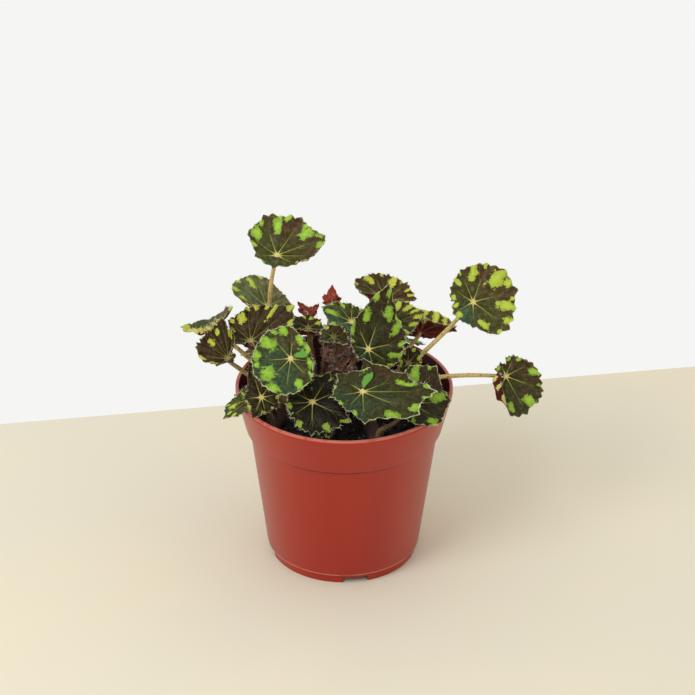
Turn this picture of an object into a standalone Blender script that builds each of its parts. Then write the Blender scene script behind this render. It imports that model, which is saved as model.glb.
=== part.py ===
"""A begonia with mottled, toothed leaves, growing from a creeping rhizome in a plastic nursery pot.

Lengths in the tables below are millimetres and angles are degrees. The pot's base centre is the origin,
+Z is up, and the photographed front faces -Y.
"""

import math
from bisect import bisect
from collections import namedtuple

import bmesh
import bpy
import numpy as np
from mathutils import Vector

MM = 0.001
GAP = 0.3

# The pot: a flat lip, a deep collar, a tapered body and a notched foot ring.
POT_HEIGHT = 103.0
LIP_RADIUS = 60.0
LIP_DEPTH = 2.2
COLLAR_RADIUS = 54.6
COLLAR_HEIGHT = 80.0
BODY_TOP_RADIUS = 52.4
BODY_BASE_RADIUS = 42.7
FOOT_RADIUS = 40.7
FOOT_TOP_RADIUS = 41.2
FOOT_HEIGHT = 5.6
POT_WALL = 1.4
LEDGE_BOTTOM = COLLAR_HEIGHT - 0.5
LEDGE_TOP = COLLAR_HEIGHT + 1.2
EDGE_ROUND = 0.3
STEP_ROUND = 0.6
FLOOR_UNDERSIDE = 5.5
FLOOR_TOP = 7.0
PAD_RADIUS = 13.0
POT_STEPS = 48
SLOT_COUNT = 4
SLOT_FIRST = -80.0
SLOT_WIDTH = 14.0
SLOT_HEIGHT = 3.2
SLOT_DEPTH = 14.0
DRAIN_RADIUS = 5.0
DRAIN_REACH = 29.0

# The compost fills the pot to a little below its lip.
SOIL_EDGE_HEIGHT = 87.0
SOIL_CENTRE_HEIGHT = 90.0
SOIL_SHOULDER_SHARE = 0.6
SOIL_SHOULDER_DROP = 0.8

# The rhizome's runs, seen from above. The last point of each open end is its tapered tip.
RHIZOME_RADIUS = 4.5
RHIZOME_HEIGHT = 89.5
TIP_SHARE = 0.45
RHIZOME_RUNS = (
    ((-41, 0), (-37, 2), (-24, 8), (-10, 9), (4, 9), (17, 6), (30, 1), (34, -1)),
    ((-30, 5), (-35, -8), (-40, -26), (-41, -30)),
    ((8, 9), (11, -8), (19, -38), (20, -42)),
    ((-14, 9), (-9, -6), (-9, -31), (-9, -35)),
)

# Every blade: seven main veins run from the hub, and the margin has a big tooth at the end of each and a
# small one half-way between two.
BLADE_THICKNESS = 0.8
VEINS = 7
STEPS_PER_VEIN = 4
RING_SHARES = (0.0, 0.5, 1.0)
SINUS_GAP = 10.0
LOBE_SHARE = 0.85
SMALL_TOOTH = 0.06
BIG_TOOTH = 0.07
KNOTS = (-0.5, 0, 1, 2, 3, 4, 5, 6, 6.5)

STALK_FOOT_RADIUS = 1.45
STALK_NECK_RADIUS = 1.0
STALK_POINTS = 9
NECK_GAP = 0.35
UPRIGHT_SHARE = 0.3
UPRIGHT_MOST = 12.0
LEAN_SHARES = Vector((0.25, 0.25, 0.55))
UNDER_SHARE = 0.2
UNDER_MOST = 6.0
NECK_CLEARANCE = 1.1

# Bevel resolutions of a tube.
SIX_SIDES = 1
TWELVE_SIDES = 4

# hub: where the stalk meets the blade. faces: azimuth and elevation that the upper side faces.
# veins: direction and length of each main vein, from the open sinus round. A direction is measured on the
# blade from its level right, and 90 runs uphill. cup: slope of the margin. curls: direction and extra slope.
# foot: where the stalk stands on the rhizome. by: a point half-way that the stalk passes, where it is bent.
Leaf = namedtuple("Leaf", "hub faces veins cup curls foot by", defaults=(None,))

LEAVES = {
    "leaf_01": Leaf(
        (-37, 8, 180), (-85, 48), ((-40, 12), (-15, 18), (14, 29), (58, 25), (98, 24), (139, 21), (184, 12)),
        22, ((270, 25),), (-31.5, 4.5), (-41, 14, 133),
    ),
    "leaf_02": Leaf(
        (-43, 28, 137), (-95, 48), ((-55, 14), (5, 14), (52, 12), (95, 17), (122, 21), (150, 24), (180, 19)),
        15, ((232, 75),), (-27.5, 6.5),
    ),
    "leaf_03": Leaf(
        (-73, 13, 132), (180, 60), ((-140, 13), (-95, 18), (-50, 16), (0, 9), (45, 12), (88, 18), (135, 15)),
        4, ((270, 55), (90, 35)), (-33.6, -4), (-55, 8, 118),
    ),
    "leaf_04": Leaf(
        (-51, -7, 135), (-95, 52), ((-50, 14), (0, 22), (42, 31), (68, 23), (98, 20), (139, 18), (172, 12)),
        15, ((265, 45),), (-32, 0),
    ),
    "leaf_05": Leaf(
        (-63, -16, 129), (-105, 45), ((30, 6), (85, 14), (109, 23), (141, 20), (169, 21), (196, 15), (225, 7)),
        5, ((70, 40),), (-35.2, -8.5), (-58, -7, 118),
    ),
    "leaf_06": Leaf(
        (-29, -26, 135), (-88, 58), ((57, 14), (101, 21), (154, 21), (207, 23), (258, 24), (300, 19), (348, 13)),
        6, (), (-10.4, -1.5),
    ),
    "leaf_07": Leaf(
        (13, -10, 132), (-88, 20), ((-75, 11), (-25, 19), (22, 24), (74, 39), (126, 17), (166, 10), (226, 8)),
        8, (), (0, 9),
    ),
    "leaf_08": Leaf(
        (10, -35, 120), (-88, 66), ((137, 18), (192, 18), (233, 16), (271, 22), (325, 34), (358, 40), (384, 27)),
        6, (), (13.2, -16),
    ),
    "leaf_09": Leaf(
        (-17, -33, 112), (-92, 55), ((150, 17), (200, 15), (248, 19), (285, 22), (328, 25), (382, 22), (434, 20)),
        0, (), (-9, -15),
    ),
    "leaf_10": Leaf(
        (-45, -27, 111), (-105, 55), ((-98, 13), (-58, 10), (-20, 12), (16, 11), (70, 14), (122, 22), (190, 10)),
        0, (), (-39.5, -25), (-41, -28, 102),
    ),
    "leaf_11": Leaf(
        (-52, -23, 107), (-150, 50), ((100, 9), (155, 10), (188, 11), (222, 16), (252, 18), (280, 11), (312, 8)),
        0, (), (-37.5, -17),
    ),
    "leaf_12": Leaf(
        (37, -34, 112), (-60, 55), ((-151, 10), (-108, 13), (-62, 19), (-12, 23), (36, 29), (68, 25), (150, 10)),
        0, (), (18.7, -37), (26, -36, 100),
    ),
    "leaf_13": Leaf(
        (70, 6, 153), (-85, 25), ((-158, 13), (-92, 14), (-44, 25), (16, 25), (67, 23), (102, 20), (146, 15)),
        5, (), (21.3, 4.5), (45, 4, 124),
    ),
    "leaf_14": Leaf(
        (89, 0, 110), (-75, 35), ((105, 8), (188, 10), (238, 19), (279, 25), (321, 24), (364, 20), (416, 13)),
        8, ((200, 50),), (29.6, 1.2), (57, 1, 109),
    ),
    "leaf_15": Leaf(
        (23, 34, 139), (-90, 62), ((-48, 12), (0, 17), (38, 16), (82, 16), (118, 19), (156, 22), (205, 17)),
        12, ((205, 35),), (9, 8),
    ),
    "leaf_16": Leaf(
        (26, 5, 140), (-70, 50), ((-70, 12), (-25, 13), (8, 20), (40, 16), (78, 14), (136, 13), (190, 12)),
        5, (), (13, 7),
    ),
    "leaf_17": Leaf(
        (42, 31, 120), (80, 35), ((-40, 10), (10, 14), (75, 24), (102, 32), (130, 32), (165, 22), (205, 12)),
        6, (), (17.3, 6),
    ),
    "leaf_18": Leaf(
        (4, 6, 140), (-95, 50), ((-60, 11), (-10, 13), (48, 10), (98, 11), (131, 15), (156, 19), (190, 13)),
        5, (), (-4, 9),
    ),
    "leaf_19": Leaf(
        (-6, -4, 136), (-90, 55), ((-70, 8), (-25, 9), (22, 8), (62, 8), (103, 8), (148, 8), (205, 8)),
        0, (), (-12.3, 4),
    ),
    "leaf_20": Leaf(
        (-20, 6, 136), (-90, 65), ((-55, 10), (-10, 10), (40, 9), (90, 9), (140, 12), (188, 13), (232, 11)),
        0, (), (-16, 8.7),
    ),
    "leaf_21": Leaf(
        (35, -4, 120), (-70, 50), ((-150, 7), (-105, 7), (-50, 6), (-5, 8), (35, 11), (72, 10), (125, 7)),
        0, (), (11.2, -8.7),
    ),
    "leaf_22": Leaf(
        (-11, -40, 99), (-90, 70), ((110, 4), (160, 5), (210, 6), (260, 6), (310, 6), (355, 5), (400, 4)),
        0, (), (-9, -29),
    ),
    "leaf_23": Leaf(
        (-19, 42, 113), (105, 68), ((110, 13), (160, 16), (205, 19), (255, 22), (300, 20), (345, 16), (400, 13)),
        6, (), (-23.5, 8),
    ),
    "leaf_24": Leaf(
        (8, 44, 115), (85, 66), ((95, 13), (140, 17), (190, 19), (240, 24), (290, 21), (335, 17), (385, 13)),
        6, (), (-8, 9),
    ),
    "leaf_25": Leaf(
        (31, 44, 108), (60, 64), ((70, 9), (120, 11), (170, 13), (215, 15), (265, 14), (310, 11), (360, 9)),
        4, (), (5, 9),
    ),
    "leaf_26": Leaf(
        (-46, 29, 109), (145, 66), ((120, 9), (165, 12), (205, 14), (250, 15), (295, 13), (345, 11), (390, 9)),
        4, (), (-36, 2),
    ),
}

# Young leaves, still folded and red all over, so that blade and stalk are one piece.
BUDS = {
    "bud_01": Leaf(
        (-7, 20, 143), (-90, 25), ((-60, 2), (-5, 4), (35, 6), (90, 11), (140, 7), (170, 5), (215, 2)),
        25, (), (-12, 9),
    ),
    "bud_02": Leaf(
        (-19, 16, 139), (-90, 30), ((-50, 3), (15, 4), (50, 8), (95, 4), (135, 10), (165, 7), (215, 3)),
        25, (), (-19.7, 8.3),
    ),
    "bud_03": Leaf(
        (-6, -6, 118), (-90, 40), ((-30, 6), (10, 8), (45, 10), (80, 11), (110, 10), (150, 8), (200, 6)),
        40, (), (-9, -7),
    ),
}

COLOURS = {
    "terracotta plastic": ((0.36, 0.045, 0.025), 0.35),
    "potting compost": ((0.012, 0.009, 0.007), 0.95),
    "rhizome bark": ((0.10, 0.045, 0.025), 0.8),
    "leaf blade": ((0.05, 0.06, 0.02), 0.5),
    "leaf stalk": ((0.58, 0.44, 0.17), 0.5),
    "young red leaf": ((0.22, 0.02, 0.015), 0.5),
}


def clear_scene():
    for obj in list(bpy.data.objects):
        bpy.data.objects.remove(obj)


def new_collection(name):
    collection = bpy.data.collections.new(name)
    bpy.context.scene.collection.children.link(collection)
    return collection


def material_for(obj, kind):
    """Give the object its own Principled material of this kind."""
    colour, roughness = COLOURS[kind]
    material = bpy.data.materials.new(f"{obj.name} {kind}")
    material.use_nodes = True
    shader = material.node_tree.nodes["Principled BSDF"]
    shader.inputs["Base Color"].default_value = (*colour, 1.0)
    shader.inputs["Roughness"].default_value = roughness
    obj.data.materials.append(material)


def mesh_object(name, bm, collection):
    mesh = bpy.data.meshes.new(name)
    bm.to_mesh(mesh)
    bm.free()
    obj = bpy.data.objects.new(name, mesh)
    collection.objects.link(obj)
    return obj


def turned(name, profile, steps, collection):
    """A solid of revolution from a profile of (radius, height) that starts and ends on the axis."""
    bm = bmesh.new()
    verts = [bm.verts.new((radius * MM, 0, height * MM)) for radius, height in profile]
    for first, second in zip(verts, verts[1:]):
        bm.edges.new((first, second))
    obj = mesh_object(name, bm, collection)
    screw = obj.modifiers.new("turn", "SCREW")
    screw.steps = steps
    screw.render_steps = steps
    screw.use_merge_vertices = True
    screw.merge_threshold = 0.00001
    return obj


def tube(name, points, radii, sides, collection):
    """A curve along points in millimetres, with a radius at each."""
    data = bpy.data.curves.new(name, "CURVE")
    data.dimensions = "3D"
    data.bevel_depth = MM
    data.bevel_resolution = sides
    data.use_fill_caps = True
    spline = data.splines.new("POLY")
    spline.points.add(len(points) - 1)
    for slot, point, radius in zip(spline.points, points, radii):
        slot.co = (*(Vector(point) * MM), 1.0)
        slot.radius = radius
    obj = bpy.data.objects.new(name, data)
    collection.objects.link(obj)
    return obj


def as_mesh(obj, collection):
    """The evaluated shape of the object as a mesh object of the same name, in place of it."""
    graph = bpy.context.evaluated_depsgraph_get()
    mesh = bpy.data.meshes.new_from_object(obj.evaluated_get(graph))
    bm = bmesh.new()
    bm.from_mesh(mesh)
    bmesh.ops.remove_doubles(bm, verts=bm.verts, dist=0.000001)
    bm.to_mesh(mesh)
    bm.free()
    name = obj.name
    matrix = obj.matrix_world.copy()
    bpy.data.objects.remove(obj)
    made = bpy.data.objects.new(name, mesh)
    made.matrix_world = matrix
    collection.objects.link(made)
    return made


def joined(base, others, collection):
    """One solid from the base and the others that run into it."""
    helpers = new_collection(f"{base.name} joined")
    for other in others:
        collection.objects.unlink(other)
        helpers.objects.link(other)
    union = base.modifiers.new("join", "BOOLEAN")
    union.operation = "UNION"
    union.operand_type = "COLLECTION"
    union.collection = helpers
    solid = as_mesh(base, collection)
    for other in others:
        bpy.data.objects.remove(other)
    bpy.data.collections.remove(helpers)
    return solid


def cut(obj, cutter_collection):
    cutting = obj.modifiers.new("cut", "BOOLEAN")
    cutting.operation = "DIFFERENCE"
    cutting.operand_type = "COLLECTION"
    cutting.collection = cutter_collection


def hide_cutters(collection):
    for obj in collection.objects:
        obj.hide_render = True
        obj.display_type = "WIRE"
    collection.hide_render = True


def inner_wall_radius(height):
    """Radius of the pot's inside at a height."""
    if height < COLLAR_HEIGHT:
        share = (height - FOOT_HEIGHT) / (COLLAR_HEIGHT - FOOT_HEIGHT)
        return BODY_BASE_RADIUS + share * (BODY_TOP_RADIUS - BODY_BASE_RADIUS) - POT_WALL
    share = (height - COLLAR_HEIGHT) / (POT_HEIGHT - COLLAR_HEIGHT)
    return COLLAR_RADIUS + share * (LIP_RADIUS - STEP_ROUND - COLLAR_RADIUS) - POT_WALL


def pot_profile():
    """From the middle of the floor up the inside, over the lip, down the outside and back under."""
    inside = [
        (0, FLOOR_TOP),
        (inner_wall_radius(FLOOR_TOP), FLOOR_TOP),
        (inner_wall_radius(LEDGE_BOTTOM), LEDGE_BOTTOM),
        (inner_wall_radius(LEDGE_TOP), LEDGE_TOP),
        (inner_wall_radius(POT_HEIGHT - STEP_ROUND), POT_HEIGHT - STEP_ROUND),
        (LIP_RADIUS - POT_WALL - EDGE_ROUND, POT_HEIGHT),
    ]
    outside = [
        (LIP_RADIUS - EDGE_ROUND, POT_HEIGHT),
        (LIP_RADIUS, POT_HEIGHT - EDGE_ROUND),
        (LIP_RADIUS, POT_HEIGHT - LIP_DEPTH),
        (LIP_RADIUS - STEP_ROUND, POT_HEIGHT - LIP_DEPTH - EDGE_ROUND),
        (COLLAR_RADIUS, COLLAR_HEIGHT + EDGE_ROUND),
        (COLLAR_RADIUS - EDGE_ROUND, COLLAR_HEIGHT),
        (BODY_TOP_RADIUS, COLLAR_HEIGHT - STEP_ROUND),
        (BODY_BASE_RADIUS, FOOT_HEIGHT + STEP_ROUND),
        (BODY_BASE_RADIUS - EDGE_ROUND, FOOT_HEIGHT),
        (FOOT_TOP_RADIUS, FOOT_HEIGHT - EDGE_ROUND),
        (FOOT_RADIUS, 0),
    ]
    underside = [
        (FOOT_RADIUS - POT_WALL, 0),
        (FOOT_RADIUS - POT_WALL, FLOOR_UNDERSIDE),
        (PAD_RADIUS + 1, FLOOR_UNDERSIDE),
        (PAD_RADIUS, 0),
        (0, 0),
    ]
    return inside + outside + underside


def slot_cutter(angle, collection):
    """A box that notches the foot ring at this angle."""
    bm = bmesh.new()
    bmesh.ops.create_cube(bm, size=1)
    obj = mesh_object("slot cutter", bm, collection)
    obj.scale = (SLOT_DEPTH * MM, SLOT_WIDTH * MM, 2 * SLOT_HEIGHT * MM)
    obj.location = (FOOT_RADIUS * MM * math.cos(angle), FOOT_RADIUS * MM * math.sin(angle), 0)
    obj.rotation_euler = (0, 0, angle)


def drain_cutter(angle, collection):
    """A drum that drills a drain hole through the floor, inside the notch at this angle."""
    bm = bmesh.new()
    bmesh.ops.create_cone(
        bm, cap_ends=True, segments=16, radius1=DRAIN_RADIUS * MM, radius2=DRAIN_RADIUS * MM, depth=4 * MM
    )
    obj = mesh_object("drain cutter", bm, collection)
    middle = 0.5 * (FLOOR_UNDERSIDE + FLOOR_TOP)
    obj.location = (DRAIN_REACH * MM * math.cos(angle), DRAIN_REACH * MM * math.sin(angle), middle * MM)


def make_pot(collection):
    pot = turned("pot", pot_profile(), POT_STEPS, collection)
    cutters = new_collection("pot cutters")
    for index in range(SLOT_COUNT):
        angle = math.radians(SLOT_FIRST + index * 360 / SLOT_COUNT)
        slot_cutter(angle, cutters)
        drain_cutter(angle, cutters)
    hide_cutters(cutters)
    cut(pot, cutters)
    material_for(pot, "terracotta plastic")


def run_points(run):
    return [(x, y, RHIZOME_HEIGHT) for x, y in run]


def run_radii(run, radius):
    """Full radius along the run, tapered at a tip. Only the first run has a tip at its start too."""
    radii = [radius] * len(run)
    radii[-1] = radius * TIP_SHARE
    if run is RHIZOME_RUNS[0]:
        radii[0] = radius * TIP_SHARE
    return radii


def rhizome_tubes(name, radius, collection):
    tubes = []
    for run in RHIZOME_RUNS:
        piece = tube(name, run_points(run), run_radii(run, radius), TWELVE_SIDES, collection)
        tubes.append(as_mesh(piece, collection))
    return tubes


def make_rhizome(collection):
    tubes = rhizome_tubes("rhizome run", RHIZOME_RADIUS, collection)
    rhizome = joined(tubes[0], tubes[1:], collection)
    rhizome.name = "rhizome"
    rhizome.data.materials.clear()
    material_for(rhizome, "rhizome bark")


def make_soil(collection):
    """The compost, with a trough that the rhizome lies in."""
    top_radius = inner_wall_radius(SOIL_EDGE_HEIGHT) - GAP
    ledge_radius = inner_wall_radius(LEDGE_BOTTOM) - GAP
    bottom = FLOOR_TOP + GAP
    profile = [
        (0, SOIL_CENTRE_HEIGHT),
        (SOIL_SHOULDER_SHARE * top_radius, SOIL_CENTRE_HEIGHT - SOIL_SHOULDER_DROP),
        (top_radius, SOIL_EDGE_HEIGHT),
        (inner_wall_radius(LEDGE_TOP + STEP_ROUND) - GAP, LEDGE_TOP + STEP_ROUND),
        (ledge_radius, LEDGE_BOTTOM + STEP_ROUND),
        (inner_wall_radius(bottom) - GAP, bottom),
        (0, bottom),
    ]
    soil = turned("soil", profile, POT_STEPS, collection)
    cutters = new_collection("soil cutters")
    rhizome_tubes("trough cutter", RHIZOME_RADIUS + GAP, cutters)
    hide_cutters(cutters)
    cut(soil, cutters)
    material_for(soil, "potting compost")


def eased(values, phase):
    """The value at a phase on a smooth curve through one value for each knot."""
    slopes = np.gradient(values, KNOTS).tolist()
    index = min(max(bisect(KNOTS, phase) - 1, 0), len(KNOTS) - 2)
    step = KNOTS[index + 1] - KNOTS[index]
    t = (phase - KNOTS[index]) / step
    first, last = values[index], values[index + 1]
    rise, fall = slopes[index] * step, slopes[index + 1] * step
    return (
        (2 * t**3 - 3 * t**2 + 1) * first
        + (t**3 - 2 * t**2 + t) * rise
        + (3 * t**2 - 2 * t**3) * last
        + (t**3 - t**2) * fall
    )


def knot_values(leaf):
    """Direction and length at each knot: the two edges of the sinus, and the seven veins between them."""
    directions = [direction for direction, length in leaf.veins]
    lengths = [length for direction, length in leaf.veins]
    half_gap = 0.5 * (directions[0] + 360 - directions[-1] - SINUS_GAP)
    directions = [directions[0] - half_gap, *directions, directions[-1] + half_gap]
    lengths = [lengths[0] * LOBE_SHARE, *lengths, lengths[-1] * LOBE_SHARE]
    return directions, lengths


def tooth(phase):
    """Share of the full length that the margin reaches at this phase."""
    from_small = abs((phase + 0.25) % 0.5 - 0.25) / 0.25
    from_big = abs((phase + 0.5) % 1.0 - 0.5) / 0.5
    return 1.0 - SMALL_TOOTH * from_small - BIG_TOOTH * from_big


def blade_axes(leaf):
    """The blade's level direction, its uphill direction and the normal of its upper side."""
    azimuth, elevation = (math.radians(angle) for angle in leaf.faces)
    level = math.cos(elevation)
    normal = Vector((level * math.cos(azimuth), level * math.sin(azimuth), math.sin(elevation)))
    side = Vector((-math.sin(azimuth), math.cos(azimuth), 0))
    return side, normal.cross(side), normal


def margin_slope(leaf, direction):
    slope = leaf.cup
    for towards, extra in leaf.curls:
        slope += extra * max(0, math.cos(math.radians(direction - towards))) ** 2
    return math.radians(slope)


def blade_point(leaf, phase, share):
    """A point of the upper side. The blade bends up along each ray and keeps its length."""
    directions, lengths = knot_values(leaf)
    direction = eased(directions, phase)
    distance = eased(lengths, phase) * (1 - (1 - tooth(phase)) * share) * share
    bend = max(margin_slope(leaf, direction) * share, 0.0001)
    out = distance * math.sin(bend) / bend
    lift = distance * (1 - math.cos(bend)) / bend
    side, uphill, normal = blade_axes(leaf)
    turn = math.radians(direction)
    return Vector(leaf.hub) + out * math.cos(turn) * side + out * math.sin(turn) * uphill + lift * normal


def make_blade(name, leaf, collection):
    """The blade: a flat disc open at the sinus, spun from one ray, then moved into its form."""
    bm = bmesh.new()
    ray = [bm.verts.new((share, 0, 0)) for share in RING_SHARES]
    edges = [bm.edges.new(pair) for pair in zip(ray, ray[1:])]
    span = math.radians(360 - SINUS_GAP)
    bmesh.ops.spin(
        bm, geom=ray + edges, cent=(0, 0, 0), axis=(0, 0, 1), angle=span, steps=VEINS * STEPS_PER_VEIN
    )
    bmesh.ops.remove_doubles(bm, verts=bm.verts, dist=0.0001)
    bmesh.ops.triangulate(bm, faces=bm.faces)
    for vert in bm.verts:
        share = vert.co.xy.length
        turned_by = math.atan2(vert.co.y, vert.co.x) % math.tau
        phase = KNOTS[0] + VEINS * min(turned_by / span, 1.0)
        vert.co = blade_point(leaf, phase, share) * MM
    bm.normal_update()
    normal = blade_axes(leaf)[2]
    if sum(face.normal.dot(normal) for face in bm.faces) < 0:
        bmesh.ops.reverse_faces(bm, faces=bm.faces)
    blade = mesh_object(name, bm, collection)
    solidify = blade.modifiers.new("thickness", "SOLIDIFY")
    solidify.thickness = BLADE_THICKNESS * MM
    solidify.offset = -1
    return blade


def stalk_foot(leaf):
    """The point just above the rhizome's upper side that is nearest to the leaf's foot."""
    wanted = Vector(leaf.foot)
    nearest = None
    for run in RHIZOME_RUNS:
        for first, second in zip(run, run[1:]):
            start, along = Vector(first), Vector(second) - Vector(first)
            share = (wanted - start).dot(along) / along.length_squared
            point = start + min(max(share, 0), 1) * along
            if nearest is None or (point - wanted).length < (nearest - wanted).length:
                nearest = point
    return Vector((nearest.x, nearest.y, RHIZOME_HEIGHT + RHIZOME_RADIUS + GAP))


def stalk_points(leaf):
    """Points along the stalk: straight up from the rhizome, then leaning over to end under the hub."""
    normal = blade_axes(leaf)[2]
    hub = Vector(leaf.hub)
    foot = stalk_foot(leaf)
    reach = (hub - foot).length
    upright = foot + Vector((0, 0, min(UPRIGHT_MOST, UPRIGHT_SHARE * reach)))
    lean = foot + (hub - foot) * LEAN_SHARES
    arriving = (hub - normal - lean).normalized()
    slant = math.sqrt(max(0, 1 - arriving.dot(normal) ** 2))
    neck = hub - normal * (BLADE_THICKNESS + NECK_GAP + NECK_CLEARANCE * STALK_NECK_RADIUS * slant)
    under = neck - normal * min(UNDER_MOST, UNDER_SHARE * reach)
    if leaf.by:
        # The middle guide that makes the curve pass this point half-way.
        lean = (16 * Vector(leaf.by) - foot - 4 * upright - 4 * under - neck) / 6
    guides = (foot, upright, lean, under, neck)
    points = []
    for index in range(STALK_POINTS):
        t = index / (STALK_POINTS - 1)
        shares = [math.comb(4, k) * (1 - t) ** (4 - k) * t**k for k in range(5)]
        points.append(sum((share * guide for share, guide in zip(shares, guides)), Vector()))
    return points


def stalk_radii(count):
    return np.linspace(STALK_FOOT_RADIUS, STALK_NECK_RADIUS, count).tolist()


def make_leaf(name, leaf, collection):
    blade = make_blade(name, leaf, collection)
    material_for(blade, "leaf blade")
    points = stalk_points(leaf)
    radii = stalk_radii(len(points))
    stalk = tube(name.replace("leaf", "stalk"), points, radii, SIX_SIDES, collection)
    material_for(stalk, "leaf stalk")


def make_bud(name, leaf, collection):
    """A young leaf, whose stalk runs on into its blade."""
    blade = make_blade(name, leaf, collection)
    inside_blade = Vector(leaf.hub) - blade_axes(leaf)[2] * 0.4 * BLADE_THICKNESS
    points = [*stalk_points(leaf), inside_blade]
    stalk = tube(f"{name} stalk", points, stalk_radii(len(points)), SIX_SIDES, collection)
    bud = joined(blade, [as_mesh(stalk, collection)], collection)
    material_for(bud, "young red leaf")


def main():
    clear_scene()
    collection = new_collection("potted_begonia")
    make_pot(collection)
    make_soil(collection)
    make_rhizome(collection)
    for name, leaf in LEAVES.items():
        make_leaf(name, leaf, collection)
    for name, leaf in BUDS.items():
        make_bud(name, leaf, collection)


main()
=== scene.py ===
"""A begonia with mottled, toothed leaves, growing from a creeping rhizome in a plastic nursery pot.

Lengths are millimetres and angles are degrees, unless a comment says otherwise. The pot's base centre is
the origin, +Z is up, and the photographed front faces -Y.
"""

import math
from collections import namedtuple

import bmesh
import bpy
import numpy as np
from mathutils import Matrix, Vector


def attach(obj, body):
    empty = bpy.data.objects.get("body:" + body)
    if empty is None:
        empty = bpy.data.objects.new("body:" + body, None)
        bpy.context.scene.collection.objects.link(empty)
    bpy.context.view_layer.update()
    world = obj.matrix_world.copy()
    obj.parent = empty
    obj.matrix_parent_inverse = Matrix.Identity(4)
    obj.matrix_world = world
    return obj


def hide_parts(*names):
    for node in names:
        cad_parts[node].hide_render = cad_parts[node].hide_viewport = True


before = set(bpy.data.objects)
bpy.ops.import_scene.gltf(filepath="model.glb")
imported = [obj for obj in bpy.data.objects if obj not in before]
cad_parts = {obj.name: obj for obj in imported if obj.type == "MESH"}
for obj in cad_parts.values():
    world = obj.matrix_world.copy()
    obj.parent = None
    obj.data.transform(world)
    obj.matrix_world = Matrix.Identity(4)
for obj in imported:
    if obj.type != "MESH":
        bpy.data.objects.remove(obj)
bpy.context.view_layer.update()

MM = 0.001
BODY = "root"

# The camera stands where the photograph was taken from.
CAMERA_LENS = 165.76
CAMERA_SENSOR = 36.0
CAMERA_DISTANCE = 1753.2
CAMERA_PITCH = 29.6
CAMERA_ROLL = 0.43
CAMERA_TARGET = (1.68, 0.0, 127.26)

# The table's far edge, as two points on it, and how far it reaches towards the camera.
FLOOR_EDGE = ((-900.0, 4.0), (900.0, 325.0))
FLOOR_NEAR = -1400.0

# The pot: a flat lip, a deep collar, a tapered body and a notched foot ring.
POT_HEIGHT = 103.0
LIP_RADIUS = 60.0
LIP_DEPTH = 2.2
LIP_STEP = 0.35
LIP_SLOPE = 0.3
COLLAR_RADIUS = 54.6
COLLAR_HEIGHT = 80.0
COLLAR_SLOPE = 0.6
BODY_TOP_RADIUS = 52.4
BODY_BASE_RADIUS = 42.7
FOOT_RADIUS = 40.7
FOOT_TOP_RADIUS = 41.2
FOOT_HEIGHT = 5.6
FOOT_SLOPE = 0.3
POT_WALL = 1.4
LEDGE_BOTTOM = 79.5
LEDGE_TOP = 81.2
FLOOR_UNDERSIDE = 5.5
FLOOR_TOP = 7.0
PAD_RADIUS = 13.0
PAD_SLOPE = 1.0
POT_STEPS = 180
POT_EDGE = 0.35
POT_EDGE_ANGLE = 28.0
SLOT_COUNT = 4
SLOT_FIRST = -80.0
SLOT_WIDTH = 14.0
SLOT_HEIGHT = 3.2
SLOT_DEPTH = 14.0
DRAIN_RADIUS = 5.0
DRAIN_REACH = 29.0
DRAIN_CUT = 4.0
DRAIN_SIDES = 32

# The compost fills the pot to a little below its lip. Its top dips a little outwards, and more at its edge.
SOIL_EDGE_HEIGHT = 87.0
SOIL_CENTRE_HEIGHT = 90.0
SOIL_GAP = 0.3
SOIL_DIP = 0.8
SOIL_EDGE_DIP = 1.6
SOIL_LEVEL_SHARE = 0.6
SOIL_STEPS = 120
SOIL_RINGS = 34

# Its lumps are crossed waves, each longer and higher than the one before, and grains lie loose on it.
LUMP_WAVES = 14
LUMP_LENGTH = 2.0
LUMP_LENGTHENING = 1.1
LUMP_HEIGHT = 0.066
LUMP_RISE = 0.01925
CRUMBS = 1500
CRUMB_SIZES = (0.5, 1.6)
PALE_GRAINS = 300
PALE_GRAIN_SIZES = (0.25, 0.7)
GRAIN_WIDTHS = (0.5, 1)
GRAIN_HEIGHTS = (0.4, 0.8)
GRAIN_RISE = 0.35

# The rhizome's runs, seen from above. The last point of each open end is its tapered tip.
RHIZOME_RADIUS = 4.5
RHIZOME_HEIGHT = 89.5
RHIZOME_RING_GAP = 0.6
RHIZOME_SIDES = 20
SCAR_GAP = 2.7
SCAR_DEPTH = 0.05
SCAR_SHARE = 0.97
TIP_SHARE = 0.45
TIP_LENGTH = 4.5
RHIZOME_RUNS = (
    ((-41, 0), (-37, 2), (-24, 8), (-10, 9), (4, 9), (17, 6), (30, 1), (34, -1)),
    ((-30, 5), (-35, -8), (-40, -26), (-41, -30)),
    ((8, 9), (11, -8), (19, -38), (20, -42)),
    ((-14, 9), (-9, -6), (-9, -31), (-9, -35)),
)

# The papery scales: two at the foot of each stalk. Their width and lean are shares of a scale's length.
SCALES_PER_STALK = 2
SCALE_LENGTHS = (3.2, 5.5)
SCALE_THICKNESS = 0.2
SCALE_WIDTH = 0.32
SCALE_LEAN = 0.45
SCALE_CURL = 0.35
SCALE_SUNK = 1.2

# Every blade: seven main veins run from the hub, each forks on its way out, and the margin has a tooth at
# the end of each vein and each branch, and one half-way between two veins. A phase is a place round the
# blade: whole numbers are the veins, and the sinus is at both ends.
VEINS = 7
KNOTS = np.array((-0.5, 0, 1, 2, 3, 4, 5, 6, 6.5))
BLADE_THICKNESS = 0.34
STEPS_PER_VEIN = 24
BLADE_RINGS = 22
RING_CROWDING = 0.85
DISC_SPAN = math.radians(350)
RAY_STEPS = 24

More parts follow.
